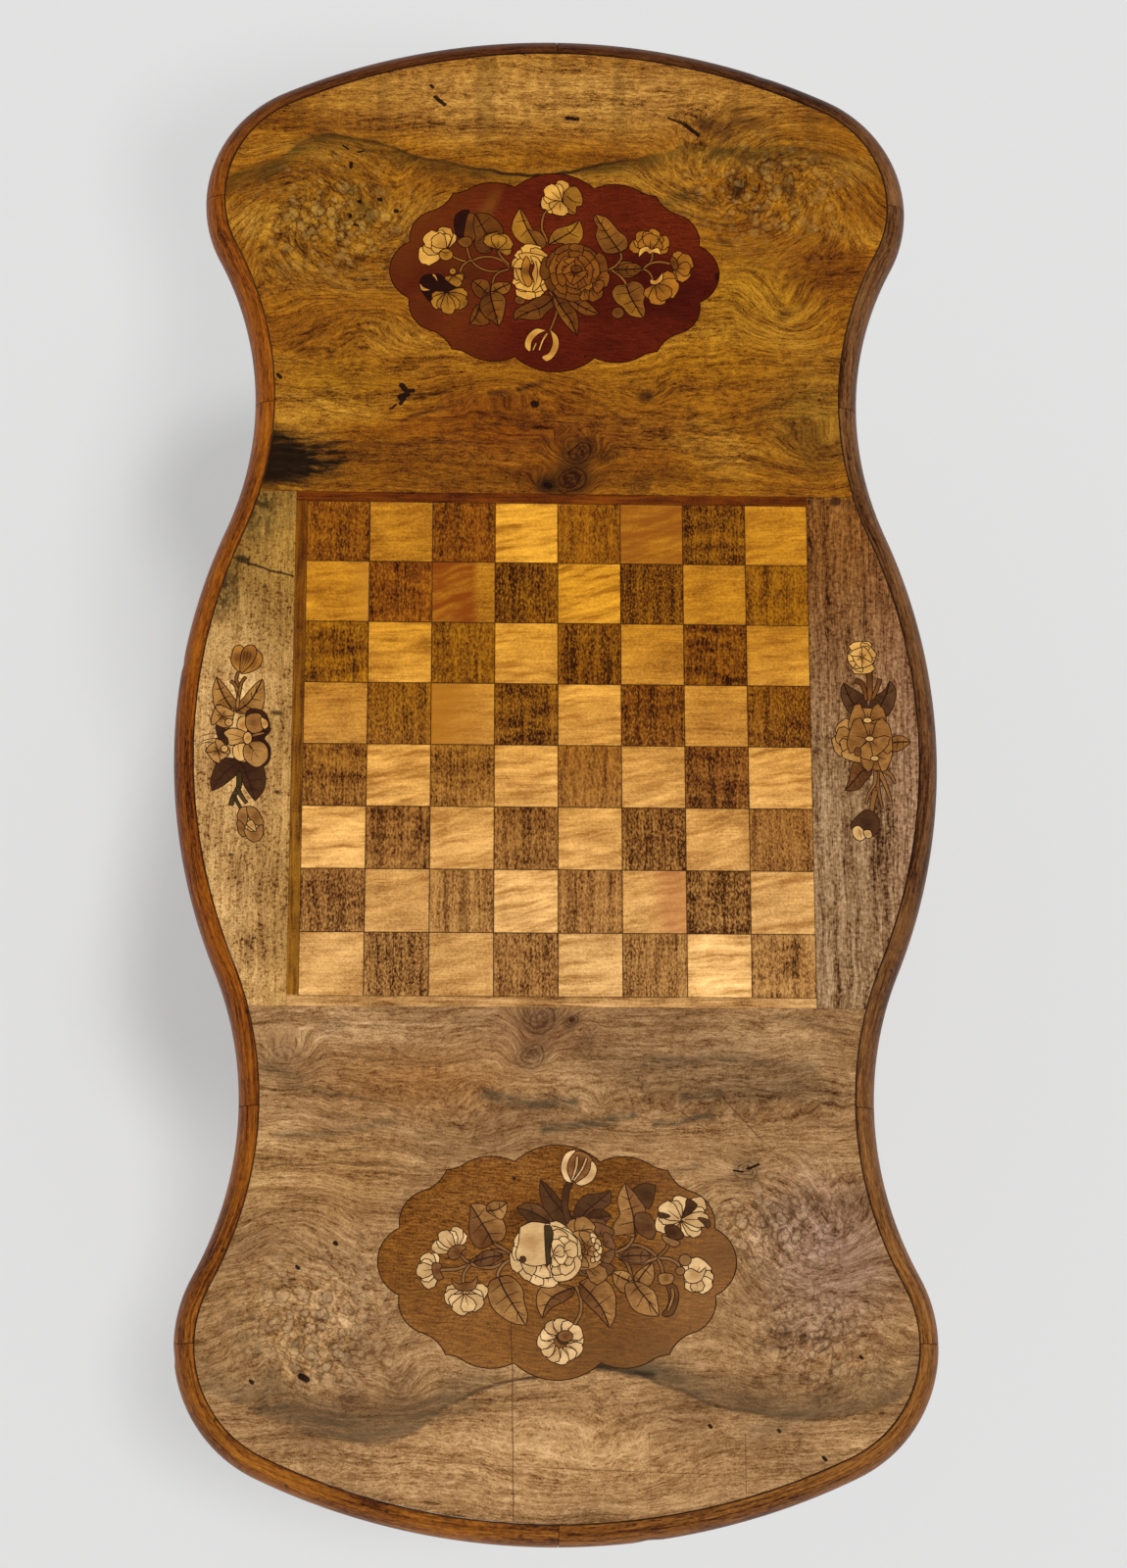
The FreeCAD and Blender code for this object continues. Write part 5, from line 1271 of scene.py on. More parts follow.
def leg_ring(top, bottom):
    """The leg's section between a pair of points: a rectangle with round corners and a line cut along each
    cheek near both edges."""
    half_top, half_bottom = leg_half_thickness(top.x), leg_half_thickness(bottom.x)
    depth = (top - bottom).length
    corner = min(6.0, depth * 0.22)
    corner_share = corner / depth
    line = 9.0 / depth if depth > 40 else 0.22
    rounding = [(corner_share * (1 - math.sin(a)) * 0.999, corner * (1 - math.cos(math.pi / 2 - a)))
                for a in map(math.radians, (0, 15, 35, 55, 75, 90))]
    lines = [(max(corner_share, min(1 - corner_share, share)), sunk)
             for share, sunk in ((line * 0.85, 0.0), (line, 0.9), (line * 1.15, 0.0), (0.5, 0.0),
                                 (1 - line * 1.15, 0.0), (1 - line, 0.9), (1 - line * 0.85, 0.0))]
    # Down a cheek: 0 is the top edge, 1 the bottom one.
    down = rounding + lines + [(1 - share, sunk) for share, sunk in reversed(rounding)]
    ring = []
    for side, way in ((1, down), (-1, down[::-1])):
        for share, sunk in way:
            place = top.lerp(bottom, share)
            half = half_top + (half_bottom - half_top) * share
            ring.append((place.x, side * (half - sunk), place.y))
    return ring


def add_legs(material):
    pairs = list(zip(*leg_edges()))[:-1]
    rings = [leg_ring(top, bottom) for top, bottom in pairs]
    run = lengths([(top + bottom) / 2 for top, bottom in pairs])
    for corner, side_x, side_y in (("ne", 1, 1), ("nw", -1, 1), ("se", 1, -1), ("sw", -1, -1)):
        turn = math.atan2(side_y, side_x)
        turned = [[(out * math.cos(turn) - aside * math.sin(turn), out * math.sin(turn) + aside
                    * math.cos(turn), max(up, 0.0)) for out, aside, up in ring] for ring in rings]
        name = "leg_carved_" + corner
        mesh = mesh_of(name, *tube(turned))
        # Each leg is cut from its own place in the plank.
        offset = 400 * side_x + 700 * side_y
        set_run(mesh, [((along + offset) * MM, (up * 0.8 + aside * 0.6) * MM)
                       for along, ring in zip(run, rings) for _, aside, up in ring])
        keep(new_object(name, mesh, material, sharp=38), "pedestal", "base_walnut", "leg_" + corner)


# ---------------------------------------------------------------- marquetry
# The dark line round each piece, the width of a knife line, and the width of the line round a cartouche.
KERF = 0.70
KNIFE_LINE = 0.8
EDGE_LINE = 0.6
# The pieces reach down into the ground's veneer. Each lies a step above all that it overlaps.
INLAY_BOTTOM = 723.6
INLAY_LEVEL = 723.72
INLAY_STEP = 0.0012
TINY = 1e-6


def smooth(points, closed=True, steps=4):
    """A flowing line through the points. It turns sharply at a point that has a third value."""
    count = len(points)
    flat = [Vector(point[:2]) for point in points]
    sharp = [len(point) > 2 for point in points]
    line = []
    for k in range(count if closed else count - 1):
        after = (k + 1) % count
        a, b = flat[k], flat[after]
        before_a = a if sharp[k] or (not closed and k == 0) else flat[k - 1]
        after_b = b if sharp[after] or (not closed and k == count - 2) else flat[(k + 2) % count]
        for step in range(steps):
            t = step / steps
            line.append(0.5 * ((2 * a) + (b - before_a) * t + (2 * before_a - 5 * a + 4 * b - after_b) * t * t
                               + (3 * a - before_a - 3 * b + after_b) * t ** 3))
    if not closed:
        line.append(flat[-1])
    return line


def area(outline):
    """The area inside, above nil if the outline runs against the clock."""
    return sum(a.x * b.y - b.x * a.y for a, b in zip(outline, outline[1:] + outline[:1])) / 2


def widened(outline, margin):
    """The outline moved outward by a margin."""
    side = 1 if area(outline) > 0 else -1
    moved = []
    for before, here, after in zip(outline[-1:] + outline[:-1], outline, outline[1:] + outline[:1]):
        first, last = here - before, after - here
        way = first + last
        if min(first.length, last.length) > TINY:
            way = first.normalized() + last.normalized()
        if way.length < TINY:
            way = Vector((-first.y, first.x))
        way.normalize()
        moved.append(here + Vector((way.y, -way.x)) * margin * side)
    return moved


class Spray:
    """One panel's flowers. Places are counted right and down from the panel's own corner; widths
    and reaches are in the same units."""

    def __init__(self, name, corner, across, down, lean):
        self.name, self.corner = name, corner
        self.across, self.down, self.lean = across, down, lean
        self.woods = {}
        self.laid = []
        self.count = 0

    def at(self, point):
        x, y = point[0], point[1]
        return Vector((self.corner[0] + self.across * x + self.lean * y, self.corner[1] - self.down * y))

    def level_over(self, outline):
        """A level just over every piece that is already laid about here."""
        west, east = min(place.x for place in outline), max(place.x for place in outline)
        south, north = min(place.y for place in outline), max(place.y for place in outline)
        level = INLAY_LEVEL
        for w, e, b, n, top in self.laid:
            if w < east and e > west and b < north and n > south:
                level = max(level, top)
        self.laid.append((west, east, south, north, level + 2 * INLAY_STEP))
        return level + INLAY_STEP

    def prism(self, wood, outline, level, heart, reach, tone):
        """One closed piece. Each of its points has its place as seen from the heart, in reaches, and the
        piece's own tone."""
        shells, spots = self.woods.setdefault(wood, ([], []))
        shells.append(tube([[(place.x, place.y, z) for place in outline] for z in (INLAY_BOTTOM, level)]))
        places = [(place - heart) / reach for place in outline]
        spots.extend([(spot.x, spot.y, tone) for spot in places] * 2)

    def inlay(self, wood, outline, heart=None, reach=None, kerf=KERF):
        """One piece of veneer, in millimetres, on the dark line that it was glued in with."""
        middle = sum(outline, Vector((0, 0))) / len(outline)
        heart = heart or middle
        reach = reach or max((place - heart).length for place in outline)
        self.count += 1
        tone = self.count * 0.618 % 1.0
        edge = widened(outline, kerf) if kerf else outline
        level = self.level_over(edge)
        if kerf:
            self.prism("kerf", edge, level, heart, reach, tone)
        self.prism(wood, outline, level + INLAY_STEP, heart, reach, tone)

    def blob(self, wood, *points, heart=None, steps=4):
        """A piece whose edge flows through these places."""
        outline = smooth([tuple(self.at(point)) + tuple(point[2:]) for point in points], steps=steps)
        self.inlay(wood, outline, self.at(heart) if heart else None)

    def bead(self, wood, centre, rx, ry=None):
        """A round or oval piece."""
        angles = [k * math.pi / 9 for k in range(18)]
        self.inlay(wood,
                   [self.at(centre)
                    + Vector((rx * self.across * math.cos(angle), (ry or rx) * self.down * math.sin(angle)))
                    for angle in angles])

    def band(self, wood, line, width, end_width, kerf=KERF):
        """A band along a line in millimetres, its width changing evenly from one end to the other."""
        left, right = [], []
        for k, place in enumerate(line):
            way = (line[min(k + 1, len(line) - 1)] - line[max(k - 1, 0)]).normalized()
            half = (width + (end_width - width) * k / (len(line) - 1)) / 2 * self.across
            normal = Vector((-way.y, way.x)) * half
            left.append(place + normal)
            right.append(place - normal)
        self.inlay(wood, left + right[::-1], line[0], kerf=kerf)

    def flowing(self, points, steps=4):
        return smooth([self.at(point) for point in points], closed=False, steps=steps)

    def ribbon(self, wood, points, width, end_width=None, kerf=KERF):
        self.band(wood, self.flowing(points, 5), width, width if end_width is None else end_width, kerf)

    def knife(self, line, weight=1.0):
        """A line engraved with the knife and filled dark, thinner at its end."""
        width = KNIFE_LINE * weight / self.across
        self.band("kerf", line, width, width * 0.5, kerf=0)

    def cut(self, points, weight=1.0):
        """A knife line that flows through these places."""
        self.knife(self.flowing(points, 5), weight)

    def stems(self, wood, width, *lines):
        for line in lines:
            self.ribbon(wood, line, width)

    def leaf(self, woods, rib, left, right, veins=3):
        """A leaf in two halves, of one wood or of two, that meet on its rib. The rib and the two edges run
        from the leaf's tip to its stalk; the edges leave both ends out."""
        rib = self.flowing(rib)
        for wood, edge in zip((woods, woods) if isinstance(woods, str) else woods, (left, right)):
            outer = smooth([rib[0]] + [self.at(point) for point in edge] + [rib[-1]], closed=False)
            self.inlay(wood, outer + rib[-2:0:-1], rib[-1], (rib[0] - rib[-1]).length)
            for k in range(veins):
                share = (k + 0.8) / (veins + 0.6)
                end = outer[round((len(outer) - 1) * share)]
                start = rib[round((len(rib) - 1) * min(1.0, share + 0.12))]
                self.knife([start, start.lerp(end, 0.4), start.lerp(end, 0.8)], 0.9)
        self.knife(rib[::-1], 1.15)

    def petal(self, wood, base, tip, width, lines=1, blunt=0.55, ruffle=0.10):
        """A petal from its base to its ruffled tip, with a few lines drawn up it."""
        a, b = Vector(base), Vector(tip)
        way = b - a
        normal = Vector((way.y, -way.x)).normalized()

        def edge(t, side, swell=1.0):
            half = width / 2 * max(0.0, math.sin(math.pi * t ** 1.7)) ** blunt
            return self.at(a + way * t * (1 + (swell - 1) * t * 0.5) + normal * side * half * swell)

        rise = (0.2, 0.42, 0.6, 0.73, 0.84, 0.93)
        left = [edge(t, 1, 1 + ruffle * (k % 2)) for k, t in enumerate(rise)]
        right = [edge(t, -1, 1 + ruffle * ((k + 1) % 2)) for k, t in enumerate(rise)]
        outline = smooth([tuple(self.at(a)) + (1,)] + left + [self.at(b)] + right[::-1], steps=2)
        self.inlay(wood, outline, self.at(a), (self.at(b) - self.at(a)).length)
        for k in range(lines):
            side = (2 * (k + 1) / (lines + 1) - 1) * 0.8
            self.knife([edge(t, side) for t in (0.12, 0.4, 0.66 + 0.1 * (k % 2))], 0.8)

    def fan(self, wood, heart, start, end, count, reach, lines=1, fat=1.35, inner=0.0, wobble=0.08):
        """Petals spread about a heart, between two angles. Reach is one length or one for each end."""
        first, last = reach if isinstance(reach, tuple) else (reach, reach)
        step = (end - start) / max(1, count - 1)
        order = sorted(range(count), key=lambda k: -abs(k - (count - 1) / 2))
        for k in order:
            angle = math.radians(start + step * k)
            share = k / max(1, count - 1)
            long = (first + (last - first) * share) * (1 + wobble * (1 if k % 2 else -1))
            way = Vector((math.cos(angle), -math.sin(angle)))
            width = abs(math.radians(step)) * long * fat
            middle = Vector(heart)
            self.petal(wood, middle + way * long * inner, middle + way * long, width, lines)

    def rose(self, woods, centre, rx, ry, rings, turn=0.0):
        """Rings of overlapping petals from the outside in, all of one wood or the first ring of another. A
        ring is its outer share, its inner share and how many petals it has."""
        for n, (outer, inner, count) in enumerate(rings):
            wood = woods if isinstance(woods, str) else woods[min(n, 1)]
            for k in range(count):
                angle = 2 * math.pi * (k + 0.5 * n) / count + math.radians(turn)
                way = Vector((math.cos(angle) * rx, math.sin(angle) * ry))
                swell = 1 + 0.05 * math.sin(2.4 * k + n)
                middle = Vector(centre)
                width = 2 * math.pi / count * way.length * outer * 1.25
                self.petal(wood, middle + way * inner, middle + way * outer * swell, width, 1)

    def done(self, materials):
        """Makes one object of all the pieces of each wood."""
        for wood, (shells, spots) in self.woods.items():
            name = "inlay_" + self.name + "_" + wood
            mesh = mesh_of(name, *merged(*shells))
            spot = mesh.attributes.new("spot", "FLOAT_VECTOR", "POINT")
            for k, value in enumerate(spots):
                spot.data[k].vector = value
            slot = "satinwood" if wood in SATINWOODS else "square_walnut"
            keep(new_object(name, mesh, materials[wood]), "top", slot)


def inlay_wood(name, north, south, root, grain, sand):
    """A marquetry wood. Its pieces are scorched dark towards their own hearts, and its colour changes from
    one at the north end to another at the south one."""
    t = Tree("inlay_" + name)
    across, along, tone = t.parts(t.add("ShaderNodeAttribute", attribute_name="spot").outputs["Vector"])
    away = t.length(t.joined(across, along))
    colour = t.mix(t.step(t.parts(t.place)[1], 230, -230), north, south)
    fine = t.noise(t.vector("ADD", t.place, t.scaled(t.joined(tone, tone, tone), 350.0)), (5.0, 0.9), 3.0,
                   0.6, 2.0)
    cloud = t.noise(t.place, 7.0, 2.0, 0.5, 5.0)
    colour = t.shaded(colour, t.waves((fine, grain * 0.5), (cloud, grain * 0.5), (tone, 0.16)))
    scorch = t.times(t.step(t.plus(away, t.times(cloud, 0.2)), 0.78, 0.18), sand)
    colour = t.tint(colour, root, scorch)
    return t.finish(colour, (fine, 0.38, 0.52), fine, 0.02)


def north_spray(s):
    """A brown rose and a pale one, with carnations, buds and a tulip about them."""
    s.stems("stem", 8, [(738, 205), (708, 240), (700, 300), (715, 335), (724, 362)],
            [(985, 486), (1020, 480), (1060, 456), (1110, 455), (1165, 480)],
            [(1020, 482), (1060, 510), (1112, 513), (1165, 480)],
            [(1055, 400), (1064, 430), (1040, 465), (1005, 486)], [(1207, 400), (1202, 440), (1170, 475)],
            [(1165, 478), (1195, 455), (1240, 447), (1290, 455)], [(1165, 480), (1192, 497), (1208, 528)],
            [(1020, 488), (1050, 508), (1078, 538), (1086, 562)],
            [(550, 480), (520, 452), (470, 436), (420, 438), (385, 452)],
            [(552, 487), (510, 497), (460, 500), (410, 482), (378, 452), (364, 420), (356, 385)],
            [(385, 452), (345, 456), (305, 442), (282, 428)], [(498, 400), (512, 430), (550, 470)],
            [(548, 490), (505, 505), (482, 530), (475, 566)], [(362, 458), (338, 478), (322, 520)],
            [(735, 590), (762, 632), (767, 680), (752, 730), (735, 768)])
    s.leaf(("amber", "tan"), [(600, 210), (618, 268), (645, 322), (694, 400)],
           [(572, 262), (564, 312), (590, 354), (626, 376), (662, 388)],
           [(634, 262), (656, 304), (694, 324), (718, 368)])
    s.leaf("amber", [(872, 262), (838, 312), (790, 342), (732, 376)], [(822, 288), (768, 304), (740, 338)],
           [(888, 312), (878, 354), (852, 376), (812, 378), (792, 366)], 2)
    s.blob("dark", (366, 228), (336, 226), (306, 250), (300, 290), (310, 334), (334, 352), (350, 322),
           (350, 270))
    s.blob("umber", (366, 238), (398, 252), (408, 300), (396, 345), (370, 378), (346, 352), (350, 296))
    s.blob("tan", (314, 368), (345, 348), (376, 352), (376, 380), (346, 392))
    s.leaf(("bark", "umber"), [(396, 236), (424, 290), (452, 340), (470, 406)],
           [(388, 290), (398, 340), (394, 380), (414, 412), (446, 418)],
           [(446, 238), (486, 262), (516, 298), (520, 324), (490, 336), (482, 370)])
    s.fan("amber", (496, 398), 6, 118, 4, 70, fat=1.5)
    s.leaf("umber", [(386, 546), (420, 572), (456, 606)], [(382, 574), (398, 608), (432, 626)],
           [(420, 538), (452, 546), (462, 580)], 2)
    s.leaf("tan", [(558, 556), (516, 574), (470, 598)], [(520, 550), (476, 560)], [(548, 592), (512, 606)], 2)
    s.leaf("umber", [(374, 742), (402, 706), (420, 654)], [(382, 698), (400, 662)],
           [(420, 746), (458, 736), (446, 698)], 2)
    s.leaf(("umber", "tan"), [(504, 748), (492, 700), (476, 650), (464, 596)],
           [(476, 724), (444, 708), (420, 668), (428, 628)], [(520, 716), (528, 676), (534, 632), (508, 600)],
           4)
    s.bead("amber", (293, 503), 13)
    s.bead("umber", (332, 524), 15)
    s.fan("amber", (298, 526), 230, 330, 3, 46, lines=0)
    s.leaf("tan", [(946, 234), (984, 296), (1020, 350), (1060, 406)],
           [(940, 262), (956, 292), (948, 332), (964, 372), (988, 406), (1028, 410)],
           [(996, 248), (1030, 284), (1052, 310), (1086, 338), (1090, 380)], 5)
    s.leaf(("amber", "tan"), [(1162, 702), (1130, 650), (1104, 604), (1086, 556)],
           [(1104, 692), (1070, 656), (1038, 630), (1022, 590), (1044, 558)],
           [(1170, 672), (1162, 632), (1172, 592), (1152, 548), (1112, 538)], 4)
    s.leaf("umber", [(1160, 480), (1100, 484), (1030, 486)], [(1130, 458), (1070, 460)],
           [(1126, 508), (1070, 510)])
    s.leaf(("umber", "bark"), [(576, 720), (640, 684), (700, 662), (756, 618)],
           [(576, 684), (606, 660), (650, 638), (696, 608), (738, 610)],
           [(606, 712), (652, 718), (694, 712), (722, 682), (756, 650)])
    s.bead("bark", (600, 630), 24, 18)
    s.bead("bark", (1046, 682), 27, 24)
    s.leaf(("tan", "umber"), [(860, 786), (832, 720), (790, 660), (752, 596)],
           [(808, 734), (774, 684), (756, 640)], [(866, 730), (854, 680), (818, 636), (780, 606)], 4)
    s.leaf("umber", [(962, 690), (900, 664), (850, 636), (794, 596)], [(902, 694), (866, 676), (832, 648)],
           [(932, 658), (896, 628), (850, 608)])
    s.fan("pale", (790, 172), 62, 215, 7, (86, 88), 1, 1.5)
    s.blob("amber", (800, 148), (822, 116), (858, 108), (884, 150), (882, 190), (858, 198), (852, 232),
           (815, 230), (796, 246), (800, 200), heart=(792, 172))
    s.cut([(800, 190), (830, 215), (850, 230)])
    s.cut([(815, 150), (845, 175), (880, 180)])
    s.fan("pale", (785, 175), 232, 268, 2, 60, 1, 1.7)
    s.fan("pale", (266, 402), 74, 198, 6, (86, 124), 1, 1.5)
    s.fan("pale", (262, 398), 100, 170, 3, 70, 0, 1.4)
    s.bead("amber", (262, 428), 30, 25)
    s.cut([(232, 412), (262, 420), (290, 410)])
    s.blob("dark", (146, 556), (162, 528), (200, 520), (236, 522), (262, 546), (302, 574), (350, 594),
           (358, 614), (300, 610), (250, 604), (216, 624), (195, 642), (166, 610), (150, 580))
    s.blob("pale", (200, 519, 1), (214, 522), (224, 548, 1))
    s.blob("pale", (144, 562, 1), (160, 578), (190, 590, 1), (156, 592))
    s.blob("pale", (338, 606, 1), (352, 598), (362, 616, 1))
    s.fan("amber", (266, 602), -158, -8, 7, (76, 102), 1, 1.4)
    s.fan("orange", (1196, 392), 8, 168, 8, (92, 88), 1, 1.45)
    s.fan("orange", (1196, 392), 40, 135, 3, 66, 1, 1.1)
    s.blob("pale", (1145, 424, 1), (1150, 392), (1182, 378), (1200, 392), (1232, 384), (1245, 412, 1),
           (1212, 402), (1195, 410), (1175, 398))
    s.fan("orange", (1312, 474), -76, 66, 5, (62, 84), 1, 1.4)
    s.blob("umber", (1292, 425), (1312, 432), (1322, 470), (1305, 480), (1290, 450))
    s.fan("orange", (1222, 548), -116, 18, 5, (84, 100), 1, 1.4)
    s.blob("pale", (1198, 528), (1222, 532), (1252, 498, 1), (1248, 530), (1222, 548), (1200, 546))
    s.rose("pale", (648, 502), 78, 124, ((1.0, 0.45, 11), (0.72, 0.3, 6)), 12)
    s.blob("orange", (628, 432), (612, 470), (610, 520), (634, 568), (654, 546), (640, 506), (644, 460))
    s.blob("pale", (650, 430), (668, 470), (656, 510), (668, 548), (660, 588), (690, 560), (700, 500),
           (684, 444))
    s.cut([(672, 450), (680, 500), (672, 560)])
    s.rose(("umber", "rust"), (850, 500), 150, 126,
           ((1.0, 0.60, 12), (0.78, 0.42, 10), (0.55, 0.24, 7), (0.32, 0.08, 4)), 8)
    s.fan("rust", (880, 520), -75, -5, 4, (118, 118), 2, 1.3, 0.55)
    s.bead("umber", (858, 484), 24, 15)
    s.blob("pale", (716, 766, 1), (672, 760), (634, 794), (624, 838), (646, 860), (652, 820), (678, 786))
    s.blob("pale", (738, 764, 1), (770, 794), (775, 840), (752, 884), (722, 904), (702, 886), (732, 868),
           (750, 826), (746, 790))
    s.ribbon("pale", [(724, 780), (704, 812), (688, 856)], 9, 4)
    s.ribbon("pale", [(674, 824), (660, 856)], 7, 4)


def south_spray(s):
    """A great pale rose with a patched petal, and a tan one behind it."""
    s.leaf("dark", [(696, 206), (742, 280), (790, 340), (836, 418)],
           [(696, 262), (708, 312), (730, 354), (770, 390), (810, 414)],
           [(742, 246), (774, 288), (808, 328), (834, 380)])
    s.leaf(("dark", "bark"), [(596, 324), (650, 336), (700, 362), (760, 400)],
           [(618, 352), (660, 388), (712, 396)], [(640, 306), (690, 314), (728, 350)], 2)
    s.leaf("dark", [(992, 252), (950, 290), (900, 330), (838, 400)],
           [(940, 266), (886, 272), (852, 310), (836, 356)], [(990, 300), (954, 332), (914, 352), (876, 388)])
    s.leaf("dark", [(996, 360), (940, 366), (880, 382)], [(950, 332), (908, 344)], [(966, 384), (920, 396)],
           2)
    s.ribbon("dark", [(822, 214), (806, 250), (800, 320), (815, 380), (832, 424)], 26, 18)
    s.stems("stem", 10, [(592, 530), (540, 512), (490, 508), (440, 530), (400, 560)],
            [(592, 535), (545, 556), (490, 577), (440, 572), (400, 560)],
            [(400, 560), (375, 540), (352, 512)], [(400, 562), (350, 582), (300, 586), (272, 588)],
            [(400, 565), (376, 600), (372, 640)], [(592, 530), (545, 500), (505, 478), (484, 458)],
            [(592, 532), (545, 560), (518, 600), (520, 640)],
            [(1012, 515), (1050, 490), (1100, 480), (1150, 500), (1190, 532)],
            [(1015, 520), (1060, 552), (1120, 556), (1190, 535)],
            [(1012, 512), (1062, 488), (1088, 445), (1086, 380)], [(1190, 532), (1225, 500), (1244, 462)],
            [(1190, 535), (1240, 540), (1275, 560), (1290, 592)], [(1190, 540), (1206, 570), (1212, 608)],
            [(1030, 526), (1062, 560), (1082, 620)],
            [(845, 655), (864, 700), (866, 760), (842, 810), (806, 850)])
    s.leaf(("umber", "tan"), [(402, 310), (434, 362), (470, 420), (498, 474)],
           [(400, 370), (398, 430), (418, 480), (450, 494), (484, 482)],
           [(458, 312), (502, 346), (534, 374), (550, 420), (538, 456), (514, 468)], 4)
    s.leaf("tan", [(554, 306), (512, 334), (470, 338)], [(530, 298), (498, 298), (472, 314)],
           [(550, 342), (532, 372), (506, 360)], 2)
    s.leaf("bark", [(540, 530), (490, 532), (416, 552)], [(500, 508), (456, 512)], [(490, 562), (440, 570)],
           2)
    s.leaf("tan", [(634, 816), (588, 740), (550, 680), (520, 618)],
           [(584, 808), (534, 780), (496, 742), (478, 690), (484, 640)],
           [(640, 770), (626, 720), (620, 670), (596, 634), (560, 612)], 5)
    s.leaf(("tan", "umber"), [(1056, 220), (1072, 290), (1090, 360), (1096, 448)],
           [(1032, 260), (1024, 300), (1034, 352), (1010, 390), (1002, 438), (1046, 436)],
           [(1092, 260), (1124, 298), (1138, 340), (1114, 380), (1108, 420)], 4)
    s.blob("dark", (1088, 244, 1), (1130, 222), (1184, 228, 1), (1172, 292), (1152, 326), (1118, 288))
    s.blob("bark", (1100, 352), (1154, 350), (1182, 408), (1168, 454), (1128, 440), (1100, 410))
    s.leaf("bark", [(1160, 528), (1100, 526), (1036, 530)], [(1130, 498), (1070, 500)],
           [(1126, 554), (1070, 554)], 2)
    s.leaf("tan", [(1000, 596), (1036, 616), (1088, 640)], [(1008, 642), (1040, 678), (1068, 676)],
           [(1040, 590), (1074, 606)], 2)
    s.leaf("tan", [(1168, 556), (1130, 600), (1094, 652)], [(1124, 580), (1094, 612)],
           [(1174, 610), (1158, 648), (1120, 664)], 2)
    s.leaf("tan", [(1192, 776), (1150, 716), (1112, 670), (1086, 630)],
           [(1150, 776), (1094, 756), (1062, 706), (1054, 652)],
           [(1188, 730), (1174, 680), (1132, 648), (1104, 638)], 4)
    s.leaf(("tan", "umber"), [(706, 786), (724, 730), (760, 692), (836, 660)],
           [(684, 740), (684, 690), (706, 658), (760, 648)], [(742, 744), (792, 718), (832, 690)])
    s.leaf(("umber", "tan"), [(986, 826), (962, 760), (920, 700), (862, 640)],
           [(938, 772), (898, 734), (866, 692)], [(1008, 780), (1010, 700), (988, 648), (940, 620),
                                                  (900, 620)], 4)
    s.fan("cream", (338, 505), 66, 168, 6, (92, 92), 1, 1.5)
    s.blob("umber", (308, 512), (340, 484), (382, 490), (362, 512), (356, 532), (322, 542))
    s.fan("cream", (262, 584), 110, 236, 6, (76, 82), 1, 1.5)
    s.blob("umber", (246, 560), (280, 566), (272, 590), (286, 620), (262, 626), (246, 600))
    s.fan("cream", (380, 668), 188, 352, 8, (88, 88), 1, 1.5)
    s.fan("cream", (380, 690), 218, 322, 4, 80, 1, 1.3)
    s.blob("umber", (322, 626, 1), (352, 648), (380, 642), (408, 640), (432, 616, 1), (420, 664), (380, 672),
           (344, 664))
    s.fan("cream", (1292, 378), 70, 190, 6, (96, 104), 1, 1.5)
    s.fan("cream", (1292, 372), -62, 40, 6, (86, 118), 1, 1.5)
    s.blob("dark", (1318, 288), (1356, 308), (1346, 330), (1300, 364, 1), (1312, 326))
    s.blob("dark", (1364, 366), (1398, 372), (1414, 388), (1404, 408), (1384, 386))
    s.blob("dark", (1196, 346), (1226, 350), (1242, 360), (1204, 364))
    s.blob("dark", (1224, 404), (1262, 398), (1300, 438), (1276, 456), (1236, 442))
    s.blob("stem", (1210, 440), (1240, 452), (1284, 470), (1262, 486), (1226, 470))
    s.fan("cream", (1338, 624), 20, 100, 3, (92, 76), 1, 1.5)
    s.fan("cream", (1346, 614), -140, -10, 5, (52, 84), 1, 1.5)
    s.blob("cream", (1302, 600), (1330, 582), (1366, 598), (1392, 578), (1372, 626), (1336, 640), (1310, 630))
    s.bead("stem", (1306, 544), 24, 22)
    s.bead("stem", (1285, 590), 18, 16)
    s.blob("bark", (1226, 640), (1262, 652), (1276, 694), (1266, 742), (1242, 776), (1208, 774), (1232, 738),
           (1238, 690))
    s.ribbon("tan", [(1250, 662), (1252, 700), (1232, 756)], 12, 5)
    s.blob("tan", (1194, 610), (1224, 600), (1256, 610), (1246, 640), (1204, 646))
    s.rose(("bark", "umber"), (925, 500), 78, 126, ((1.0, 0.5, 9),), 20)
    s.petal("tan", (880, 560), (966, 628), 74, 2)
    s.fan("tan", (852, 450), 20, 96, 3, 84, 1, 1.4)
    s.rose("tan", (880, 500), 54, 84, ((1.0, 0.3, 6),), 10)
    s.fan("cream", (872, 500), -42, 50, 8, (78, 76), 0, 1.5, 0.72)
    s.rose("cream", (722, 520), 150, 134, ((1.0, 0.6, 14), (0.74, 0.3, 9)), 10)
    s.blob("cream", (745, 402, 1), (800, 420), (850, 462), (838, 510), (868, 560), (830, 620), (760, 630),
           (738, 560, 1))
    s.fan("cream", (748, 520), -70, 70, 6, 98, 1, 1.25, 0.35)
    s.fan("cream", (740, 520), -52, 52, 4, 62, 1, 1.3, 0.2)
    s.blob("cream", (612, 408, 1), (660, 386), (714, 392, 1), (724, 560, 1), (660, 568), (596, 534),
           (606, 470))
    s.blob("olive", (714, 402, 1), (736, 404), (748, 440), (734, 500), (742, 556, 1), (722, 562, 1))
    s.bead("dark", (622, 542), 11)
    s.rose("cream", (782, 884), 94, 92, ((1.0, 0.3, 12),), 0)
    s.blob("olive", (764, 862), (790, 846), (812, 880), (800, 896), (776, 888))
    s.bead("umber", (800, 864), 30, 22)
    s.blob("rust", (838, 84), (876, 88), (910, 112), (916, 150), (876, 206), (828, 208), (812, 150),
           (820, 100))
    s.blob("cream", (844, 80), (804, 94), (784, 150), (800, 204), (828, 216, 1), (808, 166), (818, 114))
    s.blob("cream", (914, 126), (934, 158), (916, 206), (872, 228), (846, 220, 1), (888, 192), (908, 160))
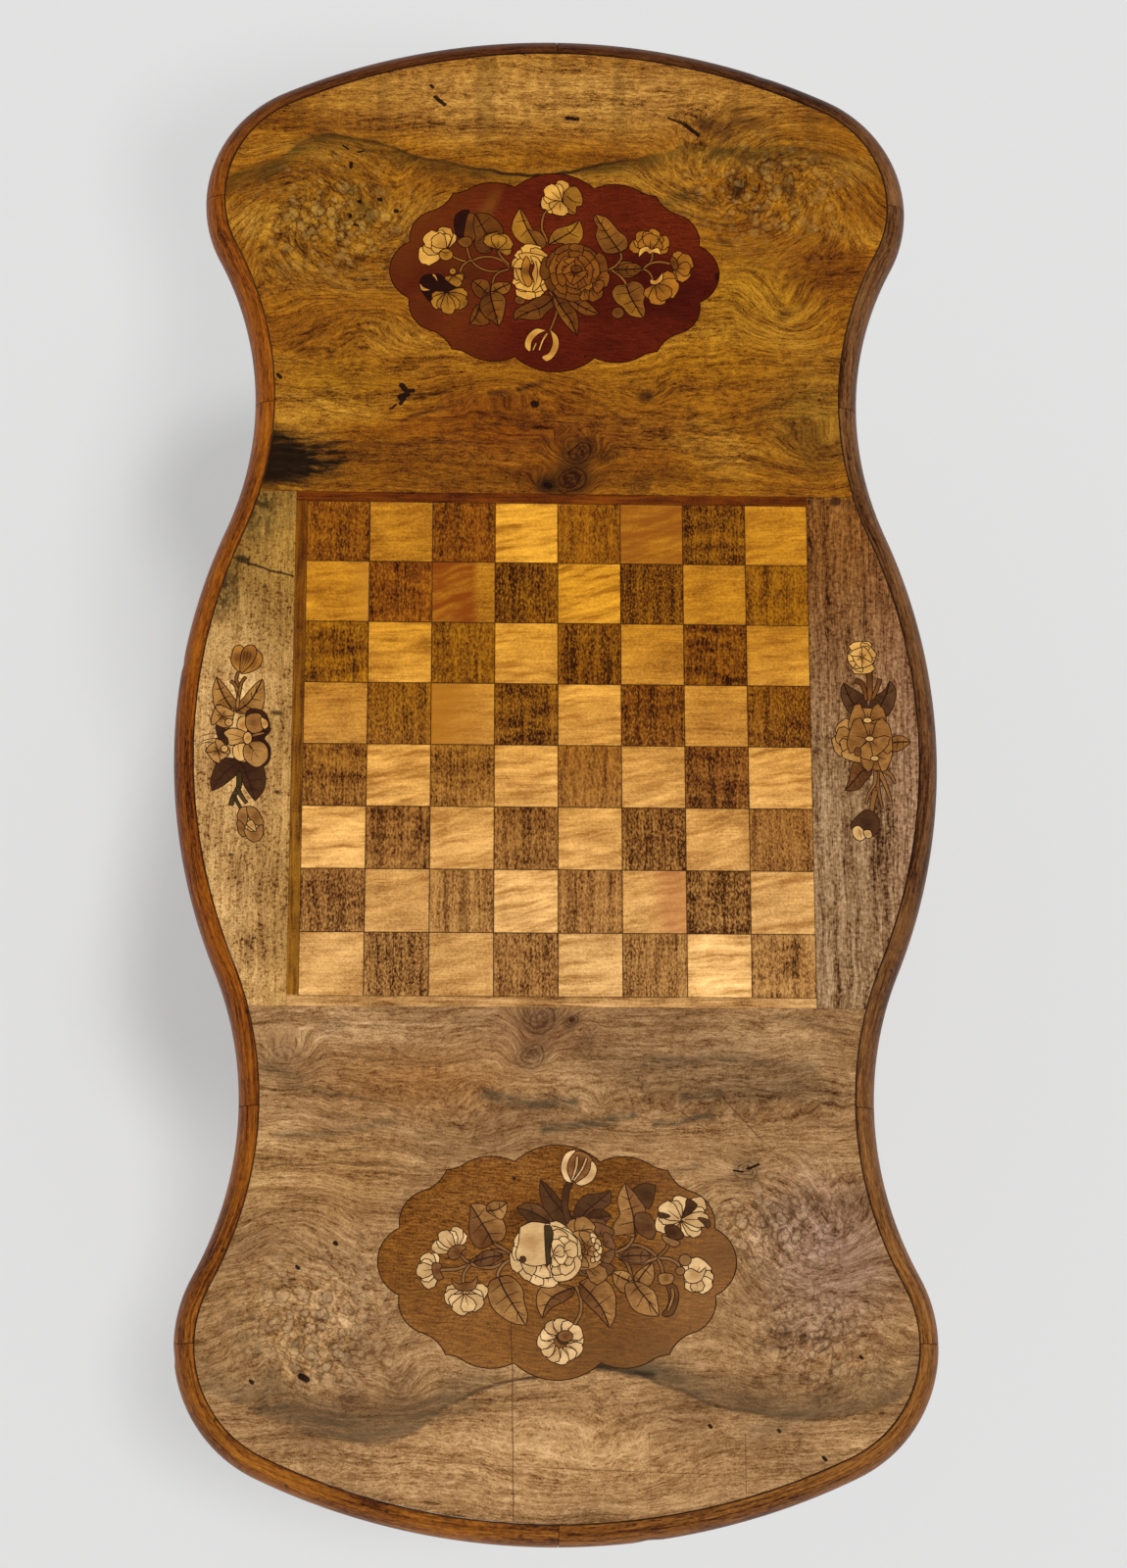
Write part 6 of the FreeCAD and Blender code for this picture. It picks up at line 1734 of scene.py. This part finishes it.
    s.ribbon("cream", [(852, 106), (848, 150), (830, 206)], 10, 5)
    s.ribbon("cream", [(892, 112), (872, 160), (838, 208)], 7, 4)


def west_spray(s):
    s.leaf("amber", [(232, 314), (258, 400), (300, 480), (352, 556)],
           [(206, 400), (210, 470), (226, 536), (290, 546)], [(288, 380), (336, 444), (372, 504)])
    s.leaf("amber", [(552, 330), (500, 430), (450, 500), (366, 560)],
           [(500, 366), (438, 440), (386, 504)], [(560, 400), (560, 480), (532, 556), (450, 574)], 4)
    s.stems("tan", 15, [(380, 282), (368, 330), (384, 400), (374, 530)], [(330, 344), (362, 372), (384, 450)],
            [(432, 314), (402, 360), (386, 440)])
    s.blob("orange", (342, 150), (362, 100), (410, 100), (422, 150), (410, 230), (400, 278), (352, 240),
           (334, 196))
    s.blob("orange", (480, 130), (512, 124), (550, 180), (512, 252), (430, 286), (400, 276), (450, 230))
    s.blob("orange", (412, 130), (452, 92), (496, 98), (506, 150), (470, 220), (402, 280), (400, 200))
    for shift in (0, 22, 44):
        s.cut([(424 + shift, 130 + shift / 3), (416 + shift, 190), (402 + shift / 2, 262)], 0.65)
    for line in ([(236, 714), (180, 714), (116, 730)], [(240, 742), (150, 756), (96, 792)],
                 [(236, 776), (150, 774), (84, 808)]):
        s.cut(line, 0.8)
    s.blob("dark", (236, 640), (300, 690), (310, 780), (262, 770), (232, 700))
    s.blob("dark", (440, 560), (560, 560), (600, 680), (560, 740), (600, 810), (590, 900), (520, 940),
           (440, 800))
    s.leaf("dark", [(202, 1106), (262, 1010), (330, 950), (404, 900)],
           [(190, 1040), (216, 960), (246, 894), (330, 884)], [(280, 1064), (354, 1004), (392, 960)], 4)
    s.leaf("dark", [(496, 1174), (472, 1080), (442, 1000), (408, 912)],
           [(438, 1092), (404, 1020), (388, 960)], [(554, 1100), (566, 1020), (552, 944), (480, 910)], 4)
    s.ribbon("olive", [(386, 980), (384, 1080), (350, 1140), (328, 1206)], 30, 24)
    s.ribbon("olive", [(372, 1080), (402, 1142), (436, 1188)], 20, 16)
    s.ribbon("olive", [(352, 1140), (376, 1190), (402, 1234)], 14, 12)
    s.rose("amber", (270, 592), 72, 64, ((1.0, 0.1, 4),), 20)
    s.bead("pale", (315, 632), 23)
    s.rose("amber", (238, 832), 60, 68, ((1.0, 0.1, 4),), 50)
    s.bead("pale", (285, 815), 21)
    s.blob("pale", (376, 664), (388, 606), (428, 594), (446, 640), (440, 690), (410, 700))
    s.blob("tan", (440, 592), (500, 568), (544, 590), (552, 676), (486, 704), (440, 664))
    s.blob("pale", (540, 600), (580, 620), (586, 656), (556, 672))
    s.blob("pale", (284, 704), (344, 676), (424, 700), (436, 752), (372, 780), (322, 786), (310, 744),
           heart=(440, 740))
    s.blob("pale", (352, 800), (420, 780), (440, 830), (420, 890), (384, 896), (350, 862), heart=(440, 740))
    s.blob("amber", (430, 790), (520, 764), (576, 800), (582, 880), (530, 934), (476, 930), (422, 870),
           heart=(440, 740))
    for end in ((470, 900), (520, 880), (552, 830)):
        s.cut([(452, 786), (480, 820), end], 0.65)
    for end in ((310, 710), (330, 760), (390, 860)):
        s.cut([(424, 744), (380, 740 + (end[1] - 740) * 0.4), end], 0.65)
    s.ribbon("tan", [(480, 724), (520, 712), (560, 704)], 16, 10)
    s.bead("pale", (446, 740), 27, 40)
    s.blob("tan", (394, 1232), (440, 1222), (440, 1290), (430, 1340), (400, 1346), (376, 1290))
    s.blob("tan", (440, 1222), (500, 1230), (544, 1300), (546, 1350), (470, 1310))
    s.blob("tan", (376, 1310), (420, 1350), (424, 1420), (384, 1390))
    s.blob("tan", (424, 1370), (480, 1390), (544, 1340), (542, 1420), (490, 1456), (440, 1424))
    s.blob("pale", (440, 1330), (470, 1310), (492, 1340), (500, 1384, 1), (462, 1360))


def east_spray(s):
    s.leaf("sable", [(164, 362), (200, 450), (250, 530), (318, 598)],
           [(146, 420), (160, 490), (202, 564), (256, 604)], [(216, 400), (284, 438), (322, 490), (326, 560)])
    s.leaf("sable", [(486, 346), (462, 440), (420, 520), (368, 590)],
           [(456, 406), (398, 448), (348, 500), (348, 560)], [(524, 400), (520, 480), (484, 566), (430, 606)])
    s.ribbon("umber", [(342, 290), (346, 370), (345, 480)], 34, 28)
    s.ribbon("umber", [(248, 344), (296, 372), (322, 480)], 34, 18)
    s.ribbon("umber", [(416, 332), (396, 400), (366, 470)], 26, 14)
    s.leaf("tan", [(628, 770), (560, 772), (486, 780)], [(570, 732), (508, 738)], [(560, 824), (500, 830)])
    s.leaf(("umber", "bark"), [(176, 1108), (240, 1040), (290, 980), (354, 944)],
           [(206, 1030), (218, 960), (248, 902), (320, 904)], [(262, 1098), (314, 1042), (356, 990)], 4)
    for line in ([(405, 970), (450, 1060), (492, 1182)], [(430, 960), (490, 1000), (520, 1056)],
                 [(392, 980), (404, 1100), (432, 1230)]):
        s.ribbon("stem", line, 34, 8)
    s.ribbon("stem", [(385, 980), (380, 1060), (340, 1130), (320, 1196)], 20, 8)
    s.ribbon("stem", [(384, 1110), (368, 1180), (356, 1260)], 34, 24)
    s.rose("pale", (290, 180), 86, 112, ((1.0, 0.2, 6), (0.62, 0.1, 4)), 20)
    s.fan("amber", (250, 740), 110, 210, 4, (130, 160), 1, 1.5)
    s.fan("amber", (250, 800), 205, 260, 2, (110, 100), 1, 1.6)
    s.rose("tan", (330, 630), 128, 92, ((1.0, 0.1, 5),), -90)
    s.rose("tan", (390, 870), 104, 96, ((1.0, 0.1, 5),), 90)
    s.rose("tan", (345, 752), 152, 108, ((1.0, 0.08, 5),), -90)
    s.bead("umber", (262, 842), 20, 28)
    for centre in ((330, 622), (345, 750), (380, 886)):
        s.bead("cream", centre, 26, 15)
    s.blob("dark", (216, 1366), (240, 1310), (312, 1248), (372, 1262), (408, 1320), (396, 1392), (350, 1426),
           (290, 1400))
    s.blob("cream", (226, 1378), (264, 1354), (302, 1386), (312, 1430), (276, 1452), (240, 1430))
    s.blob("cream", (304, 1390), (346, 1384), (358, 1424), (324, 1434))
    s.cut([(264, 1372), (280, 1402), (284, 1436)], 0.65)


def in_order(points, middle):
    """The points sorted round the middle."""
    return sorted(points, key=lambda place: math.atan2(place.y - middle[1], place.x - middle[0]))


def top_edge(node):
    """The corners of a CAD plate's upper face, in millimetres."""
    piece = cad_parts[node]
    almost_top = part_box(node)[1][2] - 0.1 * MM
    corners = [piece.matrix_world @ corner.co for corner in piece.data.vertices]
    places = sorted({(round(place.x / MM, 3), round(place.y / MM, 3)) for place in corners
                     if place.z > almost_top})
    return [Vector(place) for place in places]


def sheet(name, loops, material):
    """A flat piece of veneer inside the first loop, with the other loops as holes."""
    flat = [place for loop in loops for place in loop]
    count = len(flat)
    points = [(place.x, place.y, z) for z in (VENEER_TOP, GROUND_TOP) for place in flat]
    faces = []
    for a, b, c in tessellate_polygon([[place.to_3d() for place in loop] for loop in loops]):
        faces += [(a, b, c), (a + count, c + count, b + count)]
    start = 0
    for loop in loops:
        faces += loop_faces(start, start + count, len(loop))[:-1]
        last = start + len(loop) - 1
        faces.append((last, start, start + count, last + count))
        start += len(loop)
    return new_object(name, mesh_of(name, points, faces), material)


def add_south_field(field_wood, plate_wood):
    """The south veneer with its cartouche, which the photograph shows 5 mm larger than the frame has it."""
    wide, tall, x, y = CARTOUCHE_CAD
    new_wide, new_tall, new_x, new_y = CARTOUCHE_SEEN
    edge = [Vector(((place.x - x) * new_wide / wide + new_x, (place.y - y) * new_tall / tall + new_y))
            for place in in_order(top_edge("cartouche_south"), (x, y))]
    beyond = 12.0
    field = [place for place in top_edge("veneer_south")
             if math.hypot((place.x - x) / (wide + beyond), (place.y - y) / (tall + beyond)) > 1]
    field = in_order(field, (0, -350))
    opening = widened(edge, GLUE_LINE)
    keep(sheet("veneer_south_field", [field, opening], field_wood), "top", "burr_walnut_south",
         "veneer_south")
    keep(sheet("cartouche_south_plate", [edge], plate_wood), "top", "cartouche_brown", "cartouche_south")
    return edge


def add_edge_line(name, edge, material):
    """The dark glue line round a cartouche, just inside its edge."""
    inside = widened(edge, -EDGE_LINE)
    count = len(edge)
    points = [(place.x, place.y, z) for line, z in ((edge, INLAY_BOTTOM), (edge, INLAY_LEVEL),
                                                    (inside, INLAY_LEVEL), (inside, INLAY_BOTTOM))
              for place in line]
    faces = []
    for k in range(4):
        faces += loop_faces(k * count, (k + 1) % 4 * count, count)
    mesh = mesh_of(name, points, faces)
    mesh.attributes.new("spot", "FLOAT_VECTOR", "POINT")
    keep(new_object(name, mesh, material), "top", "square_walnut")


# Each wood's colour at the north end and at the south one, that of its scorched part, and how strongly
# its grain and the scorching show.
INLAY_WOODS = {
    "pale": ("d89c42", "d2a468", "9c5c1a", 0.5, 0.6),
    "cream": ("dda64c", "dab078", "a8713a", 0.5, 0.5),
    "amber": ("a0681a", "bd8c52", "70410f", 0.8, 0.7),
    "orange": ("a66618", "b88440", "64360c", 0.6, 0.8),
    "tan": ("8c5416", "9e6e3a", "663a12", 0.9, 0.6),
    "rust": ("864a0e", "8f5c30", "5a2e08", 0.8, 0.8),
    "umber": ("6f3c0a", "80522a", "502909", 0.8, 0.6),
    "bark": ("6a3a0c", "704826", "46210a", 0.8, 0.5),
    "sable": ("5a3517", "523620", "301a0a", 0.8, 0.5),
    "dark": ("2d0d06", "553419", "26100a", 0.7, 0.4),
    "olive": ("4a3a10", "4c3b20", "2c210d", 0.6, 0.4),
    "stem": ("8c5419", "8a5f36", "6b3f17", 0.5, 0.2),
    "kerf": ("2a0c04", "38200f", "260b04", 0.4, 0.2),
}
SATINWOODS = ("pale", "cream", "amber", "orange", "tan")


def add_marquetry():
    woods = {name: inlay_wood(name, *look) for name, look in INLAY_WOODS.items()}
    for draw, name, corner, across, down, lean in (
            (north_spray, "north", (-122.8, 440.4), 0.1592, 0.1708, 0.0),
            (south_spray, "south", (-123.2, -270.3), 0.1595, 0.1580, 0.0),
            (west_spray, "west", (-262.7, 79.8), 0.0997, 0.1032, 0.00265),
            (east_spray, "east", (186.0, 84.8), 0.1014, 0.1042, -0.00255)):
        spray = Spray(name, corner, across, down, lean)
        draw(spray)
        spray.done(woods)
    add_edge_line("edge_line_north", in_order(top_edge("cartouche_north"), (-2, 355)), woods["kerf"])
    add_edge_line("edge_line_south", add_south_field(burr_south(), cartouche_brown()), woods["kerf"])


# ---------------------------------------------------------------- screws
BEARER_LOW = 664.7
FLANGE_LOW = UNDERSIDE - 2.5
PLATE_LOW = HUB_BOTTOM - 4
BIG_HEAD, SMALL_HEAD = 4.6, 2.6
SCREW_TURNS = (12, 75, 140, 33, 101, 60)


def screw_shells(places, level, radius):
    """Slotted screw heads that look down from a level."""
    shells = []
    height = radius * 0.28
    seat, low = level - height * 0.45, level - height
    for (x, y), turn in zip(places, SCREW_TURNS):
        shells += [half_round(radius, radius * 0.26, level, low, side, (x, y), turn) for side in (1, -1)]
        shells += [half_round(radius * 0.98, 0.02, level, seat, side, (x, y), turn) for side in (1, -1)]
    return shells


def add_screws(material):
    bearers = [(x, y) for y in (116, -116) for x in (-150, 15, 150)]
    catch = [(x, y) for y in (15, -15) for x in (104, 139)]
    plate = [(70 * math.cos(math.radians(angle)), 70 * math.sin(math.radians(angle)))
             for angle in (45, 135, 225, 315)]
    for name, body, shells in (("screws_top", "top", screw_shells(bearers, BEARER_LOW, BIG_HEAD)
                                + screw_shells(catch, FLANGE_LOW, SMALL_HEAD)),
                               ("screws_plate", "pedestal", screw_shells(plate, PLATE_LOW, BIG_HEAD))):
        keep(new_object(name, mesh_of(name, *merged(*shells)), material, sharp=30), body, "iron")


# ---------------------------------------------------------------- assembly
def build():
    """Gives every CAD node that stays its material, and makes the pieces that stand for the others."""
    beech = straight_wood("beech", "x", ("6b4526", "82572f", "9a6c3f"), 140, 6.0, 3.0)
    pine = straight_wood("groundwork_pine", "y", ("7d5630", "9c7142", "b48a58"), 260, 9.0, 5.0, (0.6, 0.75),
                         0, 0.4)
    pin_beech = straight_wood("pin_beech", "y", ("5e3b1e", "775029", "8d6238"), 90, 4.0, 4.0)
    brass = metal("brass", "6d4f1e", "b8893f", (0.28, 0.45), 4.0)
    iron = metal("iron", "1a1614", "3a322c", (0.5, 0.7), 6.0)
    for material, names in ((burr_north(), ["veneer_north"]), (side_walnut(), ["veneer_east", "veneer_west"]),
                            (strip_walnut(), ["strip_north", "strip_south", "strip_west"]),
                            (satinwood(), ["squares_light"]), (square_walnut(), ["squares_dark"]),
                            (cartouche_red(), ["cartouche_north"]),
                            (pine, ["groundwork_east", "groundwork_west"]), (pin_beech, ["pivot_pins"]),
                            (iron, ["spider_plate"]),
                            (beech, ["bearer_north", "bearer_south", "pivot_block", "column_wedge"]),
                            (brass, ["catch_case", "catch_bolt", "catch_knob", "keeper_plate"])):
        for name in names:
            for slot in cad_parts[name].material_slots:
                slot.material = material
    add_rim(rim_walnut())
    add_column(straight_wood("base_walnut", "z", ("3a1a0a", "5a2f15", "784522"), 200, 6.0, 2.0, (0.3, 0.46),
                             0.35))
    add_legs(leg_walnut())
    add_marquetry()
    # The screws are of the frame's own plain iron.
    add_screws(bpy.data.materials["iron"])


add_camera()
add_world()
add_floor()
add_sun("key", (0.15, -0.02, 1.0), 1.06, 6.0)
add_sun("second", (0.20, -0.50, 1.0), 0.80, 7.0)
build()
bpy.context.scene.view_settings.view_transform = "Standard"
bpy.context.view_layer.update()
